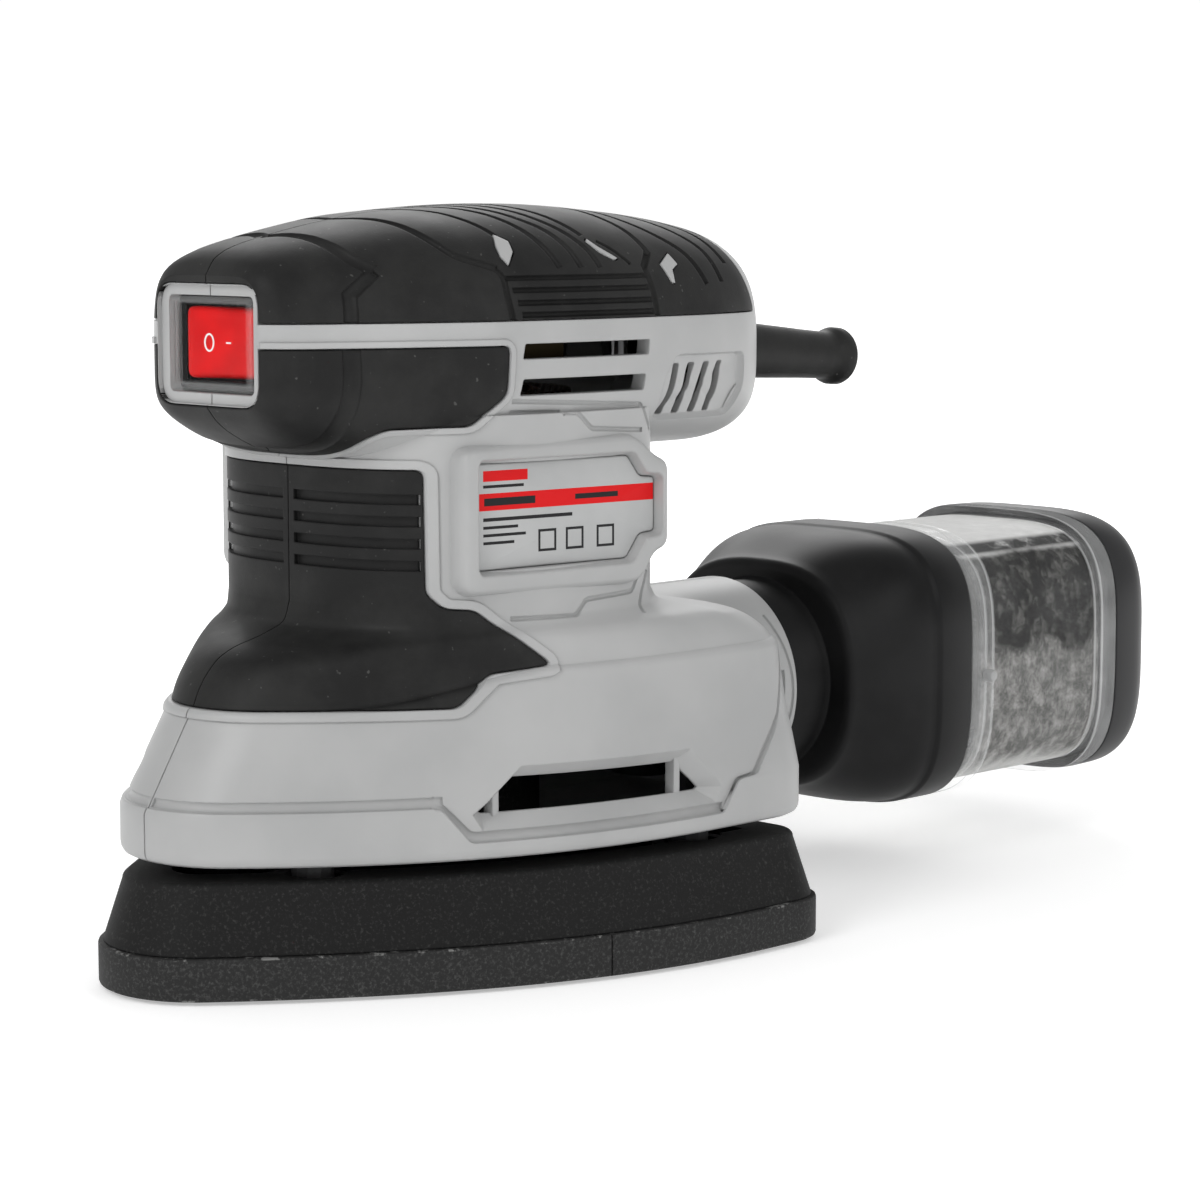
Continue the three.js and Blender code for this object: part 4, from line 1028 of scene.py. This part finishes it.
clear = Shade("clear_cover", Coat_Weight=0.6, Coat_Roughness=0.05, Specular_IOR_Level=0.7)
film = clear.noise(160, 4)
out_x, out_z = abs(clear.axis("X") * 1000), abs(clear.axis("Z") * 1000 - 107.1)
border = out_x.over(9.2, 9.9) | out_z.over(6.3, 7.0)
clear.set(clear.surface, {"Alpha": 0.003 + film * 0.005 + border * 0.08})
clear.finish((0.78, 0.8, 0.8), 0.12, [(clear.noise(420, 2), 0.1, 3e-5)])
cover_steps = ((10.9, 7.9, 2.7), (10.9, 7.9, 1.3), (10.8, 7.8, 0.9), (10.5, 7.5, 0.65), (10, 7, 0.6))
cover = loft("cover", [box_ring(w, h, key_z - 0.2, front + y, 1.2) for w, h, y in cover_steps])
cover = combine(cover, "DIFFERENCE", tray(10.0, 7.0, 1.3, 5, 0.8))
settle(cover, "switch_window", "housing", "clear_cover", clear.material, "switch_cover")

# ---- Cord boot ----------------------------------------------------------
# A tapered black rubber sleeve with a collar that the shells clamp and a flared lip; its bore is open.
boot = {"start": 56, "length": 50, "radius": 5.8, "bore": 3.6, "z": 103.4, "drop": 3.8}
r, end = boot["radius"], boot["length"]
sleeve_profile = [
    (r, -11), (r + 0.4, -10.6), (r + 0.4, -8), (r + 2.6, -8), (r + 3, -7.6), (r + 3, -4), (r + 2.6, -3.6),
    (r + 0.9, -3.6), (r + 0.6, -3.2), (r + 0.35, 2), (r + 0.1, 8), (r - 0.3, 18), (r - 0.7, 30),
    (r - 1, 38), (r - 1.15, end - 6), (r - 1.1, end - 4.4), (r - 0.8, end - 3.6), (r - 0.35, end - 3),
    (r - 0.15, end - 2.4), (r - 0.15, end - 0.6), (r - 0.35, end - 0.15), (r - 0.8, end),
]
sleeve = combine(turned(sleeve_profile), "DIFFERENCE", rod(boot["bore"], -20, 80, axis=1))
root = Matrix.Translation(Vector((0, boot["start"], boot["z"])) * MM)
droop = math.atan2(boot["drop"], boot["length"])
sleeve.data.transform(root @ Matrix.Rotation(-droop, 4, "X"))
settle(sleeve, "boot_sleeve", "housing", "grip_rubber", rubber.material, "cord_boot")

# ---- Sanding pad --------------------------------------------------------
# A ribbed tray in black glass-filled plastic hangs on the eccentric and four posts. Two base plates screw
# under it, a detachable tip and a rear part, each faced with hook material and drilled for dust.
pad_plastic = Shade("pad_plastic", Specular_IOR_Level=0.22)
height = pad_plastic.axis("Z") * 1000
flakes = pad_plastic.noise(1700, 3, 0.7)
worn = pad_plastic.noise(330, 4, 0.7).over(0.56, 0.66)
edge_line = (1 - abs(height - 7.45).over(0.08, 0.3)) * worn
edge_low = (1 - abs(height - 0.5).over(0.1, 0.4)) * worn
tray_tone = pad_plastic.mix(flakes.over(0.5, 0.8), (0.006, 0.006, 0.006), (0.04, 0.04, 0.039))
plate_tone = pad_plastic.mix(flakes.over(0.45, 0.8), (0.018, 0.018, 0.018), (0.07, 0.07, 0.069))
grey = pad_plastic.mix((height - 7.6).over(-0.1, 0.1), plate_tone, tray_tone)
marks = (edge_line | edge_low) * 0.75
pad_plastic.finish(pad_plastic.mix(marks, grey, (0.24, 0.24, 0.235)), 0.55 + flakes * 0.2,
                   [(flakes, 0.3, 8e-5)], 3e-4)
pad_plan = teardrop(53, -73, 18, 50, 28, 47, 11, fine=2)
pad_top, flange, plate_low, orbit = 19.2, 7.6, 0.35, 1.0
rim_plan = grow(pad_plan, -4.2)
tray_low = flange + 0.08
post_places = [(side * x + orbit, y) for x, y in ((15, -44), (37, 24)) for side in (-1, 1)]
dust_holes = [(0, -50), (0, 34)]
dust_holes += [(side * x, y) for side in (-1, 1) for x, y in ((18, -24), (27, 12), (30, 33))]
screw_spots = [(0, -34), (0, -18), (22, 38), (-22, 38)]


def level(inset, height, plan=pad_plan):
    return raised(grow(plan, -inset), height)


def side_profile(bottom, top):
    """Rings up a leaning wall from the pad's flange to its top rim, rounded at the rim."""
    rings = [level(0.95, bottom), level(0.9, bottom + 0.1), level(1.0, bottom + 0.5)]
    for share in np.linspace(0.1, 1, 8):
        rings.append(raised(blend(grow(pad_plan, -1.0), rim_plan, share),
                            blend(bottom + 0.5, top - 1.2, share)))
    for angle in np.linspace(0, math.pi / 2, 6)[1:]:
        rings.append(level(1.2 * (1 - math.cos(angle)), top - 1.2 + 1.2 * math.sin(angle), rim_plan))
    return rings


carrier = loft("carrier", side_profile(tray_low, pad_top))
hollow_rings = [level(4.2, tray_low + 2.6)]
for inset, rise in ((2.6, -2.4), (7.6, -1.8), (8, -0.3), (8.4, 0), (8.4, 2)):
    hollow_rings.append(level(inset, pad_top + rise, rim_plan))
hollow = loft("hollow", hollow_rings)
rib_outlines = (oblong(0, 0, 60, 1.2), oblong(0, -10, 1.2, 70))
ribs = [prism(outline, tray_low + 1, pad_top - 3, 2) for outline in rib_outlines]
for x, y in dust_holes[2:]:
    ribs.append(rod(5.4, tray_low + 1, pad_top - 5, (x, y), 2, 32))
cups = [rod(7.1, tray_low, pad_top - 1, place, 2, 40) for place in post_places]
inside = combine(ribs[0], "UNION", *ribs[1:], *cups)
inside = combine(inside, "INTERSECT", loft("room", side_profile(tray_low, pad_top)))
carrier = combine(carrier, "DIFFERENCE", hollow)
carrier = combine(carrier, "UNION", inside, rod(15.9, tray_low, 30.6, (orbit, 0)))
cutters = [rod(5.1, 9.4, 30, place, 2, 40) for place in post_places]
cutters += [rod(13.3, 22.3, 40, (orbit, 0)), rod(7, 11.4, 23, (orbit, 0))]
cutters += [rod(3.8, -5, pad_top - 2, place, 2, 32) for place in dust_holes]
settle(combine(carrier, "DIFFERENCE", *cutters), "pad_tray", "pad", "pad_plastic", pad_plastic.material,
       "pad_carrier")


def seam_half(front_part):
    """Room on one side of the seam between tip and rear plate, which steps back beside its notch."""
    y, notch = -8.5, 2.4
    line = [(-80, y), (-51, y), (-50.6, y + notch), (-47, y + notch), (-46.6, y), (46.6, y),
            (47, y + notch), (50.6, y + notch), (51, y), (80, y)]
    line = np.array(line) + (0, -0.15 if front_part else 0.15)
    far = -140 if front_part else 140
    return prism([*line, (80, far), (-80, far)], -5, 60, 2)


plate_rings = [level(0.5, plate_low), level(0.15, plate_low + 0.2), level(0, plate_low + 0.6),
               level(0, flange - 0.5), level(0.12, flange - 0.12), level(0.4, flange)]
hook_fabric = Shade("hook_fabric")
loops = hook_fabric.node("ShaderNodeTexVoronoi", {}, {"Vector": hook_fabric.place, "Scale": 1100.0})
hook_fabric.finish(hook_fabric.mix(loops.over(0.1, 0.7), (0.02, 0.02, 0.02), (0.07, 0.07, 0.068)), 0.85,
                   [(loops, 0.9, 2.5e-4)])
for part, front_part in (("tip", True), ("rear", False)):
    plate = combine(loft("plate", plate_rings), "INTERSECT", seam_half(front_part))
    holes = [loft("pocket", [level(1.6, -1), level(1.6, 1.45)])]
    holes += [rod(4.2, -5, 20, place, 2, 40) for place in dust_holes]
    holes += [rod(1.9, -5, 20, place, 2, 24) for place in screw_spots]
    holes += [rod(3.6, -5, 4.2, place, 2, 32) for place in screw_spots]
    settle(combine(plate, "DIFFERENCE", *holes), part + "_base", "pad", "pad_plastic",
           pad_plastic.material, part + "_plate")
    sheet = loft("hook", [level(2.2, 0), level(1.9, 0.2), level(1.9, 1.2), level(2.1, 1.35)])
    sheet = combine(sheet, "INTERSECT", seam_half(front_part))
    sheet = combine(sheet, "DIFFERENCE", *[rod(4.2, -5, 20, place, 2, 40) for place in dust_holes])
    settle(sheet, part + "_hooks", "pad", "hook_layer", hook_fabric.material, part + "_hook_layer")

# ---- Dust box -----------------------------------------------------------
# A black lid plugs into the port, a clear bin snaps over its rim and a dark cap closes the back. Fine
# dust clings to the inside of the bin round a soft filter bag; the lining's top also has painted light.
box = {"front": 82, "taper": 102, "seam": 112.5, "cap": 160, "rear": 174,
       "half_width": 30, "half_height": 27.5, "z": 38.5}


def box_round(y, inset):
    """The box's outline, drawn in by an inset."""
    half = box["half_height"] - inset
    return section(y, box["half_width"] - inset, box["z"] - half, box["z"] + half, 3.7, count=200)


def box_rings(start, *stations):
    """Outlines of the box at distances behind a start, each with its inset."""
    return [box_round(start + y, inset) for y, inset in stations]


def face_round(y, inset):
    """The outline of the lid's front face."""
    return section(y, 25 - inset, box["z"] - 22.5 + inset, box["z"] + 22.5 - inset, 2.6, count=200)


def swell(start, end, share, y):
    """A ring part of the way from one outline to another, at y."""
    ring = blend(start, end, share)
    ring[:, 1] = y
    return ring


lid_rings = [face_round(box["front"] + 0.1, 3.0), face_round(box["front"], 2.2)]
for angle in np.linspace(0.2, math.pi / 2, 6):
    lid_rings.append(face_round(box["front"] + 1.6 * (1 - math.cos(angle)), 1.6 * (1 - math.sin(angle))))
for share in np.linspace(0.1, 1, 12):
    lid_rings.append(swell(face_round(0, 0), box_round(0, 0.5), math.sin(share * math.pi / 2) ** 1.15,
                           blend(box["front"] + 1.6, box["taper"], share)))
lid_rings += box_rings(box["taper"], (0.5, 0.35), (1, 0.05), (1.6, 0))
lid_rings += box_rings(box["seam"], (-0.5, 0), (-0.1, 0.15), (0, 0.5))
lid = loft("lid", lid_rings)
hollow_rings = [face_round(box["front"] + 2.2, 2.2), *box_rings(box["taper"], (0, 3), (1.4, 2.2)),
                box_round(box["seam"] + 2, 2.2)]
lid_hollow = loft("hollow", hollow_rings)
collar = turned([(16.9, 58.8), (17.1, 59.4), (17.1, 72.4), (17.1, 72.8), (18.7, 72.9), (18.9, 73.3),
                 (18.9, 81), (19.8, 82.6)], (0, port_z))
lid = combine(lid, "UNION", collar)
lid = combine(lid, "DIFFERENCE", lid_hollow, rod(14.9, 50, 88, (0, port_z), 1, 64))
settle(lid, "box_lid", "dust_box", "black_plastic", black.material, "dust_box_lid")

bin_start = box["seam"] + 0.3
bin_rings = box_rings(bin_start, (-6, 2.7), (-5.8, 2.5), (0, 2.5), (0.01, 0.25), (0.3, 0), (3.4, 0),
                      (3.8, 0.3), (4.6, 0.3), (5, 0))
bin_rings += box_rings(150, (-0.4, 0), (0, 0.3), (0.8, 0.3), (1.2, 0))
bin_rings += box_rings(box["cap"], (-0.5, 0), (-0.3, 0.15))
bin_room = [*box_rings(bin_start, (-7, 4.3), (0, 4.3), (2, 1.8)), box_round(box["cap"] + 1, 1.8)]
bin_wall = combine(loft("bin", bin_rings), "DIFFERENCE", loft("room", bin_room))
bin_clear = Shade("clear_bin", Coat_Weight=0.4, Coat_Roughness=0.08, Specular_IOR_Level=0.8)
dull = bin_clear.noise(90, 5, 0.65)
along_bin = bin_clear.axis("Y") * 1000
seams = (1 - abs(along_bin - 119.0).over(0.25, 0.6)) + (1 - abs(along_bin - 154.8).over(0.25, 0.6))
thick_ends = along_bin.over(119.4, 118.6) | along_bin.over(154.2, 155)
haze_share = 0.008 + dull.over(0.35, 0.7) * 0.022 + thick_ends * (0.05 + dull * 0.2) + seams * 0.25
bin_clear.set(bin_clear.surface, {"Alpha": haze_share})
bin_clear.finish((0.8, 0.81, 0.81), 0.16 + dull * 0.1, [(bin_clear.noise(500, 3), 0.12, 4e-5)])
settle(bin_wall, "clear_bin", "container", "clear_container", bin_clear.material, "dust_container")
stud = turned([(1.2, 28.6), (1.2, 30.0), (1.0, 30.5), (0.5, 30.7)], (118.7, 37), 0, 24)
settle(stud, "bin_stud", "container", "clear_container", plastic.material)

dust_and_light = Shade("dust_and_painted_light")
clumps = dust_and_light.noise(260, 9, 0.8)
drift = dust_and_light.noise(70, 5, 0.6)
level_up = dust_and_light.axis("Z") * 1000
shade_low = (level_up + drift * 14 - 47).over(0, 2.5)
powder = dust_and_light.mix(clumps.over(0.46, 0.66), (0.005, 0.005, 0.0045), (0.1, 0.098, 0.093))
pale = dust_and_light.mix(clumps.over(0.38, 0.68), (0.09, 0.09, 0.086), (0.34, 0.335, 0.325))
# A paler tone towards the bottom of the lining, below about z 20.
lower_tone = dust_and_light.mix(clumps.over(0.3, 0.8), (0.45, 0.45, 0.44), (0.6, 0.6, 0.59))
# The bright tone for the lining's top, where painted light lies over pale dust.
top_glow = dust_and_light.mix(clumps.over(0.3, 0.8), (0.68, 0.68, 0.67), (0.85, 0.85, 0.84))
side_tone = dust_and_light.mix(shade_low, pale, powder)
side_tone = dust_and_light.mix((level_up + drift * 6 - 23).over(0, -4), side_tone, lower_tone)
# A broken dark line along z 61.2, near the top corner of the lining.
top_corner_line = (1 - abs(level_up - 61.2).over(0.5, 1.3)) * (drift + clumps).over(0.6, 0.95)
# Above about z 60 the lining's top is painted bright: a painted reflection of the white room over pale
# dust.
lit_top = (level_up + drift * 3 - 60.6).over(0, 1.6)
dust_and_light_tone = dust_and_light.mix(top_corner_line, dust_and_light.mix(lit_top, side_tone, top_glow), (0.03, 0.03, 0.03))
dust_and_light.finish(dust_and_light_tone, 0.9, [(clumps, 0.5, 3e-4)])
lining = loft("lining", [box_round(bin_start + 5, 2.1), box_round(box["cap"] - 3.6, 2.1)])
lining_room = loft("room", [box_round(bin_start + 4, 2.8), box_round(box["cap"] - 3, 2.8)])
lining = combine(lining, "DIFFERENCE", lining_room)
settle(lining, "dust_and_light_lining", "container", "filter_fabric", dust_and_light.material)

cap_grey = Shade("cap_plastic", Specular_IOR_Level=0.3)
bloom = cap_grey.noise(60, 4)
cap_grey.finish(cap_grey.mix(bloom, (0.014, 0.014, 0.015), (0.024, 0.024, 0.025)), 0.34 + bloom * 0.12,
                [(cap_grey.noise(2300, 2), 0.25, 3e-5)], 4e-4)
cap_rings = [*box_rings(box["cap"], (0, 0.5), (0.12, 0.12), (0.5, 0)), box_round(166, 0.1)]
for angle in np.linspace(0.15, math.pi / 2, 12):
    cap_rings.append(box_round(166 + 8 * math.sin(angle), 0.1 + 7.4 * (1 - math.cos(angle))))
cap_rings.append(box_round(box["rear"], 12))
spigot = loft("spigot", box_rings(box["cap"], (-3.2, 2.4), (-2.9, 2.1), (0.2, 2.1)))
cap = combine(loft("cap", cap_rings), "UNION", spigot)
cap = combine(cap, "DIFFERENCE", loft("room", box_rings(box["cap"], (-6, 4.1), (8, 4.8), (11.5, 9))))
settle(cap, "box_cap", "container", "black_plastic", cap_grey.material, "dust_box_cap")

filter_cloth = Shade("filter_cloth")
weave = filter_cloth.noise(700, 4, 0.7)
filter_cloth.finish(filter_cloth.mix(weave, (0.2, 0.19, 0.17), (0.34, 0.32, 0.29)), 0.9,
                    [(weave, 0.8, 2e-4)])
bag_rings = []
for y in np.linspace(106.3, 152, 48):
    pleat = 0.7 * math.sin((y - 106) * 1.4)
    closing = 6 * smooth(y, 143, 152) ** 2 + 1.2 * (1 - smooth(y, 106, 109))
    swollen = pleat - closing
    bag_rings.append(section(y, 18.2 + swollen, box["z"] - 17.2 - swollen, box["z"] + 17.2 + swollen, 3,
                             count=96))
settle(loft("bag", bag_rings), "filter_bag", "dust_box", "filter_fabric", filter_cloth.material,
       "dust_filter")

# ---- Works inside -------------------------------------------------------
# The motor, fan, posts and fittings keep their solid models; each gets the finish of its real material.
nylon = Shade("nylon")
fibre = nylon.noise(900, 4, 0.7)
nylon.finish(nylon.mix(fibre, (0.02, 0.02, 0.021), (0.045, 0.045, 0.047)), 0.5 + fibre * 0.15,
             [(fibre, 0.4, 8e-5)])
copper = Shade("copper", Metallic=1.0)
winding = copper.node("ShaderNodeTexWave", {"bands_direction": "DIAGONAL"},
                      {"Vector": copper.place, "Scale": 500.0})
copper.finish(copper.mix(winding, (0.03, 0.011, 0.005), (0.09, 0.034, 0.016)), 0.35,
              [(winding, 0.8, 2e-4)])
brass = Shade("brass", Metallic=1.0)
tarnish = brass.noise(300, 4)
brass.finish(brass.mix(tarnish, (0.012, 0.009, 0.005), (0.035, 0.026, 0.013)), 0.3 + tarnish * 0.2)
carbon = Shade("carbon")
soot = carbon.noise(1200, 4)
carbon.finish(carbon.mix(soot, (0.008, 0.008, 0.008), (0.03, 0.03, 0.03)), 0.5, [(soot, 0.5, 6e-5)])
can = Shade("capacitor_case")
speckle = can.noise(500, 3)
can.finish(can.mix(speckle, (0.4, 0.4, 0.38), (0.5, 0.5, 0.48)), 0.45)
finishes = {"nylon": nylon, "copper": copper, "brass": brass, "carbon": carbon, "steel": steel,
            "label": can, "grip_rubber": rubber, "black_plastic": black, "pad_plastic": pad_plastic}
slots_of = {part["node"]: part["material_slot"] for part in frame["record"]["subparts"]}
for name, node in frame["nodes"].items():
    if not node.hide_render and slots_of[name] in finishes:
        for place in node.material_slots:
            place.material = finishes[slots_of[name]].material

bpy.data.objects.remove(outer)
